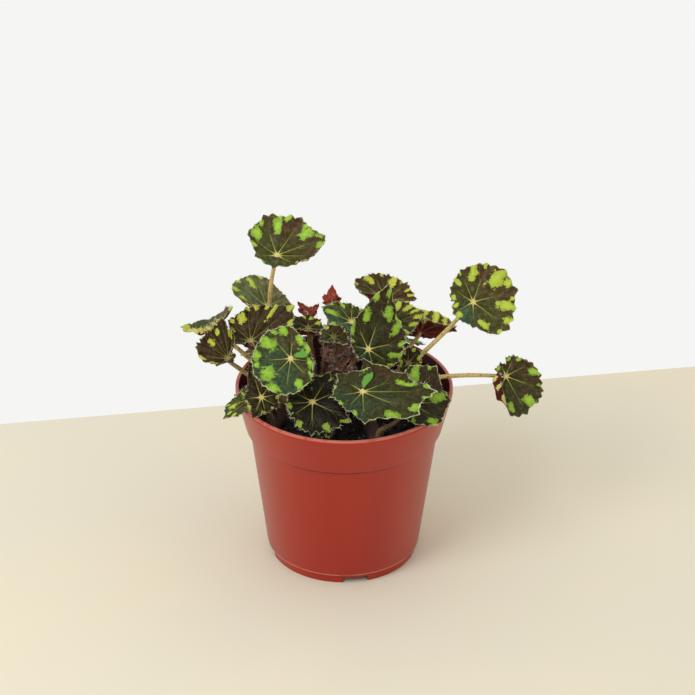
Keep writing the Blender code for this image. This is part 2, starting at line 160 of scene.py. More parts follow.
# The margin's course from vein to vein, and how the lobes beside the sinus overlap. Overlaps are degrees.
STEEPEST = 2.5
PHASE_STEP = 0.04
LEAST_SPREAD = 0.01
LEAST_REACH = 0.8
ROLL_LENGTH = 0.22
SINUS_OVERLAP = 5.0
SINUS_STEP = 0.35
LOBE_OVERLAP = 16.0
LOBE_SHARE = 0.85
LOBE_LIFT = 1.8
LOBE_BOW = 20.0

# The teeth: their sizes at a vein and elsewhere, and how far one may stray from its even place.
TEETH_PER_VEIN = 4
TOOTH_WIDTH = 0.14
TOOTH_POINT = 0.85
VEIN_TOOTH = (1.0, 1.25)
OTHER_TOOTH = (0.25, 0.95)
TOOTH_STRAY = 0.03
TOOTH_CROWDING = (0.35, 1.3)
USUAL_SPREAD = math.radians(50)

# The relief: grooves over the veins, swollen fields, dimples, and the margin's waves as height and rate.
HUB_DIP = 0.32
GROOVE_WIDTH = 0.9
FIELD_RISE = 0.95
DIMPLE_RISE = 0.16
DIMPLE_RATES = (2.2, 14)
MARGIN_WAVES = ((0.6, 1.0), (0.4, 1.7), (0.4, 3.1))

# The veins as they are drawn. Widths are millimetres, and starts are shares of the way out. Where there is
# no line, the distance from one is too great for any to show.
VEIN_WIDTH = 0.26
VEIN_TAPER = 0.62
VEIN_END = 0.72
HUB_SPREAD = 0.5
HUB_REACH = 1.2
VEIN_BEND = 0.05
FORK_START = 0.42
FORK_SHIFT = 0.14
FORK_TURN = 0.25
FORK_NARROWING = 1.3
BRANCH_START = 0.22
BRANCH_TURN = 0.5
BRANCH_NARROWING = 1.5
NO_LINE = 5.0

# A blade is browner on the side that faces the light, which is painted light and leaves the far side
# blue-green as painted sheen, and browner at its margin, its own colour. Its bright lobe, in a green that is
# partly painted highlight, has a middle and a half width in phase and in share.
PAINTED_LIGHT_SIDE = 50.0
PAINTED_LIGHT_BROWNING = 0.8
BROWNER_OUTWARDS = 0.5
BROWNER_FROM = 0.6
BRIGHT_LOBE = ((-0.5, 0.26), (0.46, 0.4))

# Blotches grow a little over the sizes in the looks. Where a look names none, each sector has a big one, by
# ranges of its share of the way out and its two sizes, and most forks have a small one of a set width.
BLOTCH_SIZE = 1.15
BLOTCH_TAIL = 0.65
BIG_BLOTCH = ((0.7, 0.82), (0.14, 0.25), (0.13, 0.2))
FORK_BLOTCH = ((-0.05, 0.05), (0.88, 0.95), (0.06, 0.1))
FORK_BLOTCH_WIDTH = 0.08
FORKS_WITH_BLOTCH = 0.7

# Hairs: their lengths and half widths, where they root, which way they lean and how many there are.
HAIR_SIDES = 3
LASH_LENGTHS = (0.8, 2.4)
LASH_WIDTH = 0.1
LASH_ROOTS = (0.955, 0.995)
LASH_SUNK = 0.2
LASH_OUTWARD = (0.4, 1.0)
LASH_UPWARD = (-0.1, 0.9)
LASH_SIDEWAYS = (-0.6, 0.6)
DOWN_LENGTHS = (1.0, 2.6)
DOWN_WIDTH = 0.09
DOWN_ROOT = 0.9
LASHES_PER_LENGTH = 7
LEAST_LASHES = 30
DOWNY = 0.4
DOWN_COUNT = 120
YOUNG_DOWN_COUNT = 200
YOUNG_LASHES = 90
FOLDED_DOWN_COUNT = 110
FOLDED_LASHES = 120

# Stalks: thicker and redder at the foot, with a swollen base, and a little wavy. Any direction that no stalk
# starts along serves to begin the rings of a tube.
STALK_FOOT_RADIUS = 1.5
STALK_NECK_RADIUS = 1.05
STALK_SWELLING = 0.5
SWELLING_REACH = 0.035
STALK_WAVE = 0.05
STALK_WAVE_RATE = 31
STALK_RINGS = 44
STALK_SIDES = 12
TUBE_START = (0.3, 0.9, 0.1)
STALK_SUNK = 1.5
FOOT_LIFT = 0.3
FOOT_REDNESS = 0.35
REDNESS_REACH = 9.0
UPRIGHT_SHARE = 0.3
UPRIGHT_MOST = 12.0
LEAN_SHARES = np.array((0.25, 0.25, 0.55))
UNDER_SHARE = 0.2
UNDER_MOST = 6.0

# hub: where the stalk meets the blade. faces: azimuth and elevation that the upper side faces.
# veins: direction and length of each main vein, from the sinus round. A direction is measured on the
# blade from its level right, and 90 runs uphill. cup: slope of the margin. curls: direction and extra slope.
# foot: where the stalk stands on the rhizome. by: a point half-way that the stalk passes, where it is bent.
Leaf = namedtuple("Leaf", "hub faces veins cup curls foot by", defaults=(None,))

LEAVES = {
    "01": Leaf(
        (-37, 8, 180), (-85, 48),
        ((-40, 12), (-15, 18), (14, 29), (58, 25), (98, 24), (139, 21), (184, 12)),
        22, ((270, 25),), (-31.5, 4.5), (-41, 14, 133),
    ),
    "02": Leaf(
        (-43, 28, 137), (-95, 48),
        ((-55, 14), (5, 14), (52, 12), (95, 17), (122, 21), (150, 24), (180, 19)),
        15, ((232, 75),), (-27.5, 6.5),
    ),
    "03": Leaf(
        (-73, 13, 132), (180, 60),
        ((-140, 13), (-95, 18), (-50, 16), (0, 9), (45, 12), (88, 18), (135, 15)),
        4, ((270, 55), (90, 35)), (-33.6, -4), (-55, 8, 118),
    ),
    "04": Leaf(
        (-51, -7, 135), (-95, 52),
        ((-50, 14), (0, 22), (42, 31), (68, 23), (98, 20), (139, 18), (172, 12)),
        15, ((265, 45),), (-32, 0),
    ),
    "05": Leaf(
        (-63, -16, 129), (-105, 45),
        ((30, 6), (85, 14), (109, 23), (141, 20), (169, 21), (196, 15), (225, 7)),
        5, ((70, 40),), (-35.2, -8.5), (-58, -7, 118),
    ),
    "06": Leaf(
        (-29, -26, 135), (-88, 58),
        ((57, 14), (101, 21), (154, 21), (207, 23), (258, 24), (300, 19), (348, 13)),
        6, (), (-10.4, -1.5),
    ),
    "07": Leaf(
        (13, -10, 132), (-88, 20),
        ((-75, 11), (-25, 19), (22, 24), (74, 39), (126, 17), (166, 10), (226, 8)),
        8, (), (0, 9),
    ),
    "08": Leaf(
        (10, -35, 120), (-88, 66),
        ((137, 18), (192, 18), (233, 16), (271, 22), (325, 34), (358, 40), (384, 27)),
        6, (), (13.2, -16),
    ),
    "09": Leaf(
        (-17, -33, 112), (-92, 55),
        ((150, 17), (200, 15), (248, 19), (285, 22), (328, 25), (382, 22), (434, 20)),
        0, (), (-9, -15),
    ),
    "10": Leaf(
        (-45, -27, 111), (-105, 55),
        ((-98, 13), (-58, 10), (-20, 12), (16, 11), (70, 14), (122, 22), (190, 10)),
        0, (), (-39.5, -25), (-41, -28, 102),
    ),
    "11": Leaf(
        (-52, -23, 107), (-150, 50),
        ((100, 9), (155, 10), (188, 11), (222, 16), (252, 18), (280, 11), (312, 8)),
        0, (), (-37.5, -17),
    ),
    "12": Leaf(
        (37, -34, 112), (-60, 55),
        ((-151, 10), (-108, 13), (-62, 19), (-12, 23), (36, 29), (68, 25), (150, 10)),
        0, (), (18.7, -37), (26, -36, 100),
    ),
    "13": Leaf(
        (70, 6, 153), (-85, 25),
        ((-158, 13), (-92, 14), (-44, 25), (16, 25), (67, 23), (102, 20), (146, 15)),
        5, (), (21.3, 4.5), (45, 4, 124),
    ),
    "14": Leaf(
        (89, 0, 110), (-75, 35),
        ((105, 8), (188, 10), (238, 19), (279, 25), (321, 24), (364, 20), (416, 13)),
        8, ((200, 50),), (29.6, 1.2), (57, 1, 109),
    ),
    "15": Leaf(
        (23, 34, 139), (-90, 62),
        ((-48, 12), (0, 17), (38, 16), (82, 16), (118, 19), (156, 22), (205, 17)),
        12, ((205, 35),), (9, 8),
    ),
    "16": Leaf(
        (26, 5, 140), (-70, 50),
        ((-70, 12), (-25, 13), (8, 20), (40, 16), (78, 14), (136, 13), (190, 12)),
        5, (), (13, 7),
    ),
    "17": Leaf(
        (42, 31, 120), (80, 35),
        ((-40, 10), (10, 14), (75, 24), (102, 32), (130, 32), (165, 22), (205, 12)),
        6, (), (17.3, 6),
    ),
    "18": Leaf(
        (4, 6, 140), (-95, 50),
        ((-60, 11), (-10, 13), (48, 10), (98, 11), (131, 15), (156, 19), (190, 13)),
        5, (), (-4, 9),
    ),
    "19": Leaf(
        (-6, -4, 136), (-90, 55),
        ((-70, 8), (-25, 9), (22, 8), (62, 8), (103, 8), (148, 8), (205, 8)),
        0, (), (-12.3, 4),
    ),
    "20": Leaf(
        (-20, 6, 136), (-90, 65),
        ((-55, 10), (-10, 10), (40, 9), (90, 9), (140, 12), (188, 13), (232, 11)),
        0, (), (-16, 8.7),
    ),
    "21": Leaf(
        (35, -4, 120), (-70, 50),
        ((-150, 7), (-105, 7), (-50, 6), (-5, 8), (35, 11), (72, 10), (125, 7)),
        0, (), (11.2, -8.7),
    ),
    "22": Leaf(
        (-11, -40, 99), (-90, 70),
        ((110, 4), (160, 5), (210, 6), (260, 6), (310, 6), (355, 5), (400, 4)),
        0, (), (-9, -29),
    ),
    "23": Leaf(
        (-19, 42, 113), (105, 68),
        ((110, 13), (160, 16), (205, 19), (255, 22), (300, 20), (345, 16), (400, 13)),
        6, (), (-23.5, 8),
    ),
    "24": Leaf(
        (8, 44, 115), (85, 66),
        ((95, 13), (140, 17), (190, 19), (240, 24), (290, 21), (335, 17), (385, 13)),
        6, (), (-8, 9),
    ),
    "25": Leaf(
        (31, 44, 108), (60, 64),
        ((70, 9), (120, 11), (170, 13), (215, 15), (265, 14), (310, 11), (360, 9)),
        4, (), (5, 9),
    ),
    "26": Leaf(
        (-46, 29, 109), (145, 66),
        ((120, 9), (165, 12), (205, 14), (250, 15), (295, 13), (345, 11), (390, 9)),
        4, (), (-36, 2),
    ),
}

# Young leaves, still folded and red all over.
BUDS = {
    "01": Leaf(
        (-7, 20, 143), (-90, 25),
        ((-60, 2), (-5, 4), (35, 6), (90, 11), (140, 7), (170, 5), (215, 2)),
        25, (), (-12, 9),
    ),
    "02": Leaf(
        (-19, 16, 139), (-90, 30),
        ((-50, 3), (15, 4), (50, 8), (95, 4), (135, 10), (165, 7), (215, 3)),
        25, (), (-19.7, 8.3),
    ),
    "03": Leaf(
        (-6, -6, 118), (-90, 40),
        ((-30, 6), (10, 8), (45, 10), (80, 11), (110, 10), (150, 8), (200, 6)),
        40, (), (-9, -7),
    ),
}

# The folded leaves round the last bud: where each hub is from the bud's own, what the leaf faces and its
# size as a share of the bud's.
HEART = "03"
HEART_LEAVES = (
    ((0, 0, 0), (-90, 40), 0.85),
    ((-3, 3, 6), (-130, 25), 0.65),
    ((7, 4, 4), (-50, 30), 0.7),
    ((1, 6, 12), (-95, 20), 0.7),
    ((9, 1, -4), (-40, 35), 0.6),
    ((6, 7, 11), (-60, 15), 0.6),
    ((-4, 6, 12), (-120, 10), 0.55),
)

# How each blade is coloured and cut.
# brown: 0 is green and 1 is brown. yellow: 0 is a green blotch and 1 a yellow one. dark: how much darker
# than usual, as painted shade, and below 0 how much paler, as painted light. edge: how pale the margin is.
# lobe: how bright the curled lobe beside the sinus is, in a green that is partly painted highlight.
# teeth: depth of the margin's teeth, a share of the reach. ruddy: 0 is a tan stalk and 1 a red, hairy one.
# veined: how clear the veins are. ripple: height of the margin's waves. straight: how straight the margin
# runs from tooth to tooth.
# places: phases at which the seven veins are drawn. Phases 0 to 6 are the directions in the table above.
# blotches: phase, share of the way out, half width in phase and half length in share.
# dents: phase, half width and depth where the margin draws in, or bulges if the depth is below 0.
# rolls: direction, half width, turn and starting share of a margin that rolls over.
Look = namedtuple(
    "Look", "brown yellow dark edge lobe teeth ruddy veined ripple straight places blotches dents rolls",
    defaults=(0.5, 0.2, 0.0, 0.3, 0.0, 0.08, 0.0, 1.0, 0.8, 0.75, (0, 1, 2, 3, 4, 5, 6), (), (), ()),
)

LOOKS = {
    "01": Look(
        teeth=0.1, brown=0.65, yellow=0.1, dark=0.05, edge=0.25, straight=0.5,
        places=(0.1, 1.3, 2.1, 2.9, 4.2, 5.15, 6),
        blotches=(
            (3.7, 0.68, 0.21, 0.17), (4.78, 0.74, 0.24, 0.13), (2.45, 0.71, 0.18, 0.14),
            (1.84, 0.86, 0.14, 0.09), (4.4, 0.88, 0.12, 0.08), (3.3, 0.9, 0.11, 0.08),
            (2.15, 0.9, 0.08, 0.06), (2.65, 0.9, 0.07, 0.07), (5.5, 0.86, 0.15, 0.1),
            (3.62, 0.94, 0.1, 0.08), (0.3, 0.92, 0.16, 0.05), (6.2, 0.9, 0.12, 0.06),
            (0.95, 0.93, 0.1, 0.05), (-0.3, 0.9, 0.1, 0.05),
        ),
        dents=((2.5, 0.3, 0.06),),
    ),
    "02": Look(
        teeth=0.07, brown=0.35, yellow=0.4, dark=-0.3, edge=0.3, places=(0, 1, 1.6, 2.8, 3.75, 4.8, 6),
        blotches=(
            (4.2, 0.76, 0.15, 0.18), (3.4, 0.94, 0.16, 0.06), (5.25, 0.88, 0.16, 0.12),
            (5.75, 0.7, 0.12, 0.1), (4.75, 0.93, 0.12, 0.06), (6.3, 0.85, 0.2, 0.12),
            (-0.3, 0.85, 0.2, 0.12),
        ),
        rolls=((225, 60, 80, 0.5),),
    ),
    "03": Look(
        teeth=0.05, brown=0.8, yellow=0.5, edge=0.6, veined=0.5,
        blotches=(
            (1.0, 0.86, 0.35, 0.14), (1.8, 0.84, 0.5, 0.2), (2.6, 0.8, 0.5, 0.25), (3.5, 0.8, 0.5, 0.25),
            (4.3, 0.86, 0.35, 0.14), (5.3, 0.88, 0.3, 0.08),
        ),
        rolls=((0, 75, 75, 0.4),),
    ),
    "04": Look(
        teeth=0.12, ruddy=0.2, brown=1.6, yellow=0.9, dark=0.4, edge=0.2, veined=0.45, ripple=1.7,
        places=(0, 1, 2.05, 3.25, 4.1, 5.1, 6),
        blotches=(
            (4.45, 0.7, 0.24, 0.15), (2.6, 0.72, 0.13, 0.2), (3.6, 0.93, 0.12, 0.06),
            (4.05, 0.93, 0.1, 0.05), (4.95, 0.86, 0.13, 0.08), (2.05, 0.91, 0.12, 0.05),
            (1.6, 0.86, 0.12, 0.07), (3.05, 0.93, 0.12, 0.05), (5.6, 0.8, 0.12, 0.1),
            (0.6, 0.86, 0.15, 0.08),
        ),
        rolls=((262, 62, 85, 0.5),),
    ),
    "05": Look(
        teeth=0.17, ruddy=0.4, brown=1.9, yellow=0.9, dark=0.4, edge=0.45, veined=0.3, ripple=2.0,
        places=(0, 1, 2, 2.85, 3.5, 4.6, 6),
        blotches=(
            (3.2, 0.64, 0.26, 0.09), (2.45, 0.72, 0.16, 0.06), (4.72, 0.86, 0.25, 0.07),
            (1.3, 0.8, 0.25, 0.1), (5.6, 0.85, 0.2, 0.08),
        ),
        rolls=((30, 45, 90, 0.5), (265, 62, 90, 0.5)),
    ),
    "06": Look(
        teeth=0.055, ruddy=0.8, brown=0.42, yellow=0.05, edge=0.9, lobe=0.75, dark=0.25, straight=0.2,
        places=(0.6, 1.5, 2.55, 3.4, 4.1, 5.15, 6),
        blotches=(
            (1.82, 0.7, 0.27, 0.2), (1.0, 0.82, 0.17, 0.18), (0.14, 0.82, 0.19, 0.15),
            (3.22, 0.67, 0.27, 0.17), (4.65, 0.78, 0.2, 0.13), (5.9, 0.81, 0.24, 0.11),
            (1.36, 0.88, 0.08, 0.1), (2.4, 0.86, 0.16, 0.1), (3.7, 0.87, 0.2, 0.09),
            (5.4, 0.88, 0.12, 0.09), (2.72, 0.86, 0.1, 0.07), (-0.3, 0.85, 0.16, 0.14),
        ),
    ),
    "07": Look(
        teeth=0.13, ruddy=0.5, brown=0.4, yellow=0.15, dark=0.6, edge=0.75,
        places=(0, 0.8, 1.8, 2.95, 3.75, 5, 6),
        blotches=(
            (3.34, 0.56, 0.11, 0.11), (2.75, 0.63, 0.13, 0.08), (2.28, 0.7, 0.17, 0.13),
            (3.14, 0.79, 0.07, 0.07), (4.05, 0.87, 0.16, 0.1), (1.74, 0.86, 0.11, 0.08),
            (1.26, 0.7, 0.15, 0.16), (2.5, 0.81, 0.07, 0.06), (2.92, 0.85, 0.04, 0.06),
            (3.82, 0.84, 0.09, 0.07), (0.8, 0.85, 0.1, 0.06), (4.6, 0.85, 0.12, 0.08),
        ),
        dents=((3.42, 0.3, 0.06), (2.6, 0.25, 0.06)),
    ),
    "08": Look(
        teeth=0.12, ruddy=0.5, brown=0.35, yellow=0.15, edge=0.9, lobe=0.75, dark=0.42,
        places=(0.05, 1, 2, 3, 4.15, 5.0, 6),
        blotches=(
            (5.62, 0.73, 0.3, 0.1), (5.2, 0.9, 0.12, 0.05), (4.3, 0.86, 0.13, 0.08),
            (3.75, 0.74, 0.14, 0.11), (-0.35, 0.9, 0.08, 0.06), (0.5, 0.9, 0.1, 0.06),
            (2.55, 0.87, 0.16, 0.07), (3.3, 0.93, 0.08, 0.05), (6.3, 0.9, 0.08, 0.05),
            (4.75, 0.88, 0.07, 0.05), (1.5, 0.88, 0.12, 0.06),
        ),
        dents=((5.62, 0.25, 0.08), (4.55, 0.3, 0.08), (3.4, 0.3, 0.06)),
    ),
    "09": Look(
        teeth=0.17, ruddy=0.8, brown=1.0, yellow=0.6, dark=0.92, edge=0.65, lobe=0.4, ripple=1.1,
        places=(0, 0.7, 1.4, 2.6, 4.1, 5.1, 5.85),
        blotches=(
            (0.82, 0.84, 0.2, 0.08), (1.88, 0.83, 0.17, 0.1), (3.33, 0.76, 0.16, 0.1),
            (4.0, 0.88, 0.11, 0.07), (5.72, 0.86, 0.05, 0.1), (6.3, 0.75, 0.11, 0.07),
            (6.05, 0.95, 0.08, 0.06), (1.3, 0.87, 0.06, 0.05),
        ),
    ),
    "10": Look(
        teeth=0.15, ruddy=0.8, brown=1.3, yellow=0.8, dark=0.65, edge=0.4, ripple=1.3,
        places=(0, 0.95, 2, 3.1, 4, 5, 6),
        blotches=(
            (0.68, 0.9, 0.2, 0.09), (2.88, 0.86, 0.24, 0.1), (-0.35, 0.8, 0.14, 0.1),
            (4.25, 0.9, 0.1, 0.1), (1.6, 0.9, 0.1, 0.06),
        ),
        dents=((4.4, 0.45, 0.38), (5.5, 0.4, 0.25), (2.5, 0.3, 0.1)),
    ),
    "11": Look(
        teeth=0.12, ruddy=0.8, brown=0.9, yellow=0.5, dark=0.15, edge=0.35,
        blotches=(
            (1.65, 0.62, 0.16, 0.22), (3.45, 0.52, 0.24, 0.17), (3.9, 0.74, 0.08, 0.07),
            (3.1, 0.87, 0.11, 0.07), (2.4, 0.85, 0.12, 0.08), (4.6, 0.8, 0.12, 0.1),
        ),
    ),
    "12": Look(
        teeth=0.08, ruddy=0.5, brown=0.8, yellow=0.15, dark=0.65, edge=0.7,
        places=(0, 1, 2.2, 3, 4, 5.2, 6),
        blotches=(
            (4.83, 0.68, 0.22, 0.17), (3.18, 0.64, 0.19, 0.18), (1.95, 0.78, 0.2, 0.14),
            (0.9, 0.8, 0.15, 0.1), (4.2, 0.9, 0.08, 0.06),
        ),
        dents=((3.5, 0.35, 0.08),),
    ),
    "13": Look(
        teeth=0.09, brown=0.62, yellow=0.45, edge=0.3, straight=0.1,
        places=(0.1, 1, 2.1, 2.95, 4.05, 5.2, 6),
        blotches=(
            (4.62, 0.76, 0.27, 0.2), (3.5, 0.73, 0.23, 0.22), (4.07, 0.92, 0.07, 0.08),
            (2.6, 0.73, 0.13, 0.2), (3.2, 0.9, 0.1, 0.08), (2.25, 0.89, 0.09, 0.1),
            (1.5, 0.68, 0.22, 0.12), (5.6, 0.82, 0.13, 0.14), (6.35, 0.82, 0.13, 0.1),
            (0.27, 0.79, 0.15, 0.12), (-0.2, 0.78, 0.12, 0.1), (5.28, 0.93, 0.05, 0.06),
            (2.78, 0.92, 0.05, 0.05), (1.9, 0.93, 0.08, 0.05),
        ),
        dents=((3.45, 0.55, -0.1),),
    ),
    "14": Look(
        teeth=0.12, brown=0.9, yellow=0.2, dark=0.3, edge=0.2, straight=0.4,
        places=(0, 1, 2, 3.3, 4.25, 5.3, 6.1),
        blotches=(
            (4.95, 0.8, 0.18, 0.14), (3.62, 0.78, 0.21, 0.14), (2.75, 0.74, 0.15, 0.12),
            (5.8, 0.84, 0.1, 0.08), (6.3, 0.82, 0.15, 0.1), (4.4, 0.88, 0.06, 0.05),
            (1.0, 0.95, 0.16, 0.14), (1.65, 1.1, 0.13, 0.12), (2.25, 1.0, 0.16, 0.1),
            (0.3, 0.8, 0.2, 0.14),
        ),
        dents=((1.3, 1.0, -0.5), (2.5, 0.8, -0.14)),
        rolls=((205, 64, 150, 0.58),),
    ),
    "15": Look(
        teeth=0.11, ruddy=0.3, brown=1.2, yellow=0.8, edge=0.15, ripple=1.3,
        places=(0, 1, 2.1, 3.1, 3.9, 4.75, 6),
        blotches=(
            (4.3, 0.78, 0.2, 0.16), (2.75, 0.7, 0.26, 0.2), (3.5, 0.92, 0.1, 0.07),
            (4.95, 0.9, 0.1, 0.07), (2.35, 0.89, 0.05, 0.06), (1.6, 0.85, 0.08, 0.14),
            (1.2, 0.85, 0.08, 0.14), (5.6, 0.8, 0.14, 0.1), (0.5, 0.8, 0.15, 0.12),
            (2.7, 0.86, 0.1, 0.08),
        ),
        rolls=((232, 55, 115, 0.5),),
    ),
    "16": Look(
        teeth=0.09, ruddy=0.4, brown=0.6, yellow=0.55, edge=0.7, veined=0.6,
        blotches=(
            (3.5, 0.74, 0.2, 0.22), (2.75, 0.78, 0.17, 0.2), (2.3, 0.8, 0.1, 0.18),
            (1.85, 0.82, 0.12, 0.16), (1.3, 0.8, 0.16, 0.15), (0.4, 0.8, 0.18, 0.14),
            (4.5, 0.8, 0.2, 0.15), (5.4, 0.82, 0.2, 0.12),
        ),
    ),
    "17": Look(
        teeth=0.1, brown=1.0, yellow=0.8, dark=-0.12, edge=0.6, veined=0.4,
        blotches=(
            (2.95, 0.72, 0.22, 0.28), (3.4, 0.78, 0.18, 0.22), (2.45, 0.72, 0.2, 0.26),
            (1.9, 0.78, 0.2, 0.22), (3.85, 0.82, 0.16, 0.14), (4.4, 0.88, 0.14, 0.09),
            (1.3, 0.85, 0.15, 0.1), (5.2, 0.85, 0.15, 0.1),
        ),
        dents=((2.6, 2.0, -0.15),),
        rolls=((95, 62, -150, 0.74),),
    ),
    "18": Look(
        teeth=0.1, ruddy=0.8, brown=0.15, yellow=0.1, dark=0.15, edge=0.5,
        blotches=(
            (5.1, 0.66, 0.3, 0.2), (3.7, 0.79, 0.17, 0.16), (2.85, 0.86, 0.13, 0.08),
            (6.1, 0.8, 0.2, 0.1), (4.4, 0.93, 0.1, 0.05), (2.2, 0.85, 0.1, 0.1),
        ),
    ),
    "19": Look(
        ruddy=1.0, brown=0.7, yellow=0.8, dark=0.45, edge=0.5, veined=0.2,
        blotches=(
            (4.4, 0.82, 0.3, 0.1), (2.2, 0.9, 0.1, 0.08),
        ),
        rolls=((265, 70, 80, 0.45),),
    ),
    "20": Look(
        teeth=0.1, ruddy=0.8, brown=0.9, yellow=0.7, dark=0.4, edge=0.5, veined=0.3,
        blotches=(
            (2.7, 0.78, 0.2, 0.17), (1.8, 0.66, 0.25, 0.17), (3.35, 0.78, 0.14, 0.14),
            (4.15, 0.86, 0.2, 0.1), (5.2, 0.85, 0.2, 0.1), (0.6, 0.8, 0.2, 0.12),
        ),
        rolls=((255, 80, 100, 0.45),),
    ),
    "21": Look(brown=1.1, yellow=0.7, dark=0.5, edge=0.5, veined=0.35),
    "22": Look(brown=0.2, yellow=0.1, dark=0.75, edge=0.3),
    "23": Look(),
    "24": Look(brown=0.4, yellow=0.1),
    "25": Look(brown=0.7, yellow=0.3),
    "26": Look(brown=0.6, yellow=0.4),
}

# Young blades are all alike: one look for the bright ones that stand up, and one for the folded ones.
YOUNG = Look(
    brown=1.0, edge=0.2, ruddy=0.7, teeth=0.1, veined=0.35, ripple=0.9,
    dents=((1.5, 0.3, 0.15), (2.5, 0.3, 0.08), (3.5, 0.3, 0.08), (4.5, 0.3, 0.15)),
)
FOLDED = YOUNG._replace(ruddy=0.6, veined=0.12, ripple=2.4, rolls=((90, 60, 70, 0.4), (270, 60, 90, 0.4)))
YOUNG_SEED = 40
FOLDED_SEED = 60


def hex_colour(code):
    """A linear colour from an sRGB hex value."""
    linear = []
    for start in (1, 3, 5):
        share = int(code[start : start + 2], 16) / 255
        linear.append(share / 12.92 if share <= 0.04045 else ((share + 0.055) / 1.055) ** 2.4)
    return (*linear, 1.0)


def node(tree, kind, inputs, out=0, **settings):
    """Add a node and give one of its outputs.

    Its inputs are given by name or in order, each as a plain value or another node's output."""
    added = tree.nodes.new(kind)
    for name, value in settings.items():
        setattr(added, name, value)
    for socket, value in inputs.items() if isinstance(inputs, dict) else enumerate(inputs):
        if isinstance(value, bpy.types.NodeSocket):
            tree.links.new(value, added.inputs[socket])
        else:
            added.inputs[socket].default_value = value
    return added.outputs[out]


# Numbers of the sockets that a colour mix takes and gives, and of the outputs used elsewhere.
MIX_FACTOR, MIX_UNDER, MIX_OVER, MIX_RESULT = 0, 6, 7, 2
OBJECT_PLACE = 3
ATTRIBUTE_VECTOR, ATTRIBUTE_NUMBER = 1, 2

# A map range takes a value, the two ends that it comes between and the two ends that it goes to.
SMOOTH = {"interpolation_type": "SMOOTHSTEP"}


def new_material(name, roughness, ior=1.45, specular=0.5):
    material = bpy.data.materials.new(name)
    material.use_nodes = True
    tree = material.node_tree
    shader = tree.nodes["Principled BSDF"]
    shader.inputs["Roughness"].default_value = roughness
    shader.inputs["IOR"].default_value = ior
    shader.inputs["Specular IOR Level"].default_value = specular
    place = node(tree, "ShaderNodeTexCoord", {}, OBJECT_PLACE)
    return material, tree, shader, place


def layered(tree, base, layers):
    """The base colour under others, each laid on by its mask. A colour is a hex value or a socket."""
    for mask, over in layers:
        base, over = (hex_colour(colour) if isinstance(colour, str) else colour for colour in (base, over))
        settings = {MIX_FACTOR: mask, MIX_UNDER: base, MIX_OVER: over}
        base = node(tree, "ShaderNodeMix", settings, MIX_RESULT, data_type="RGBA")
    return base


def paint(tree, shader, base, layers):
    tree.links.new(layered(tree, base, layers), shader.inputs["Base Color"])


def rough_up(tree, shader, height, depth):
    """Give the shader relief of this many millimetres where the height goes from 0 to 1."""
    bump = node(tree, "ShaderNodeBump", {"Height": height, "Distance": depth * MM, "Strength": 1.0})
    tree.links.new(bump, shader.inputs["Normal"])


def mottled_material(name, roughness, base, patches, relief_depth=0.0):
    """One colour under patches of others, with the last patches' grain as its relief.

    Each patch has a grain in millimetres, a detail, two values that it fades in between, a strength and a
    colour."""
    material, tree, shader, place = new_material(name, roughness)
    layers = []
    for size, detail, start, full, strength, code in patches:
        settings = {"Vector": place, "Scale": 1 / (size * MM), "Detail": detail}
        grain = node(tree, "ShaderNodeTexNoise", settings)
        patch = node(tree, "ShaderNodeMapRange", (grain, start, full, 0.0, strength), **SMOOTH)
        layers.append((patch, code))
    paint(tree, shader, base, layers)
    if relief_depth:
        rough_up(tree, shader, grain, relief_depth)
    return material


LEAF_FIELDS = (
    "vein", "fork", "branch", "blotch", "share", "reach",
    "brown", "yellow", "dark", "lobe", "edge", "veined",
)


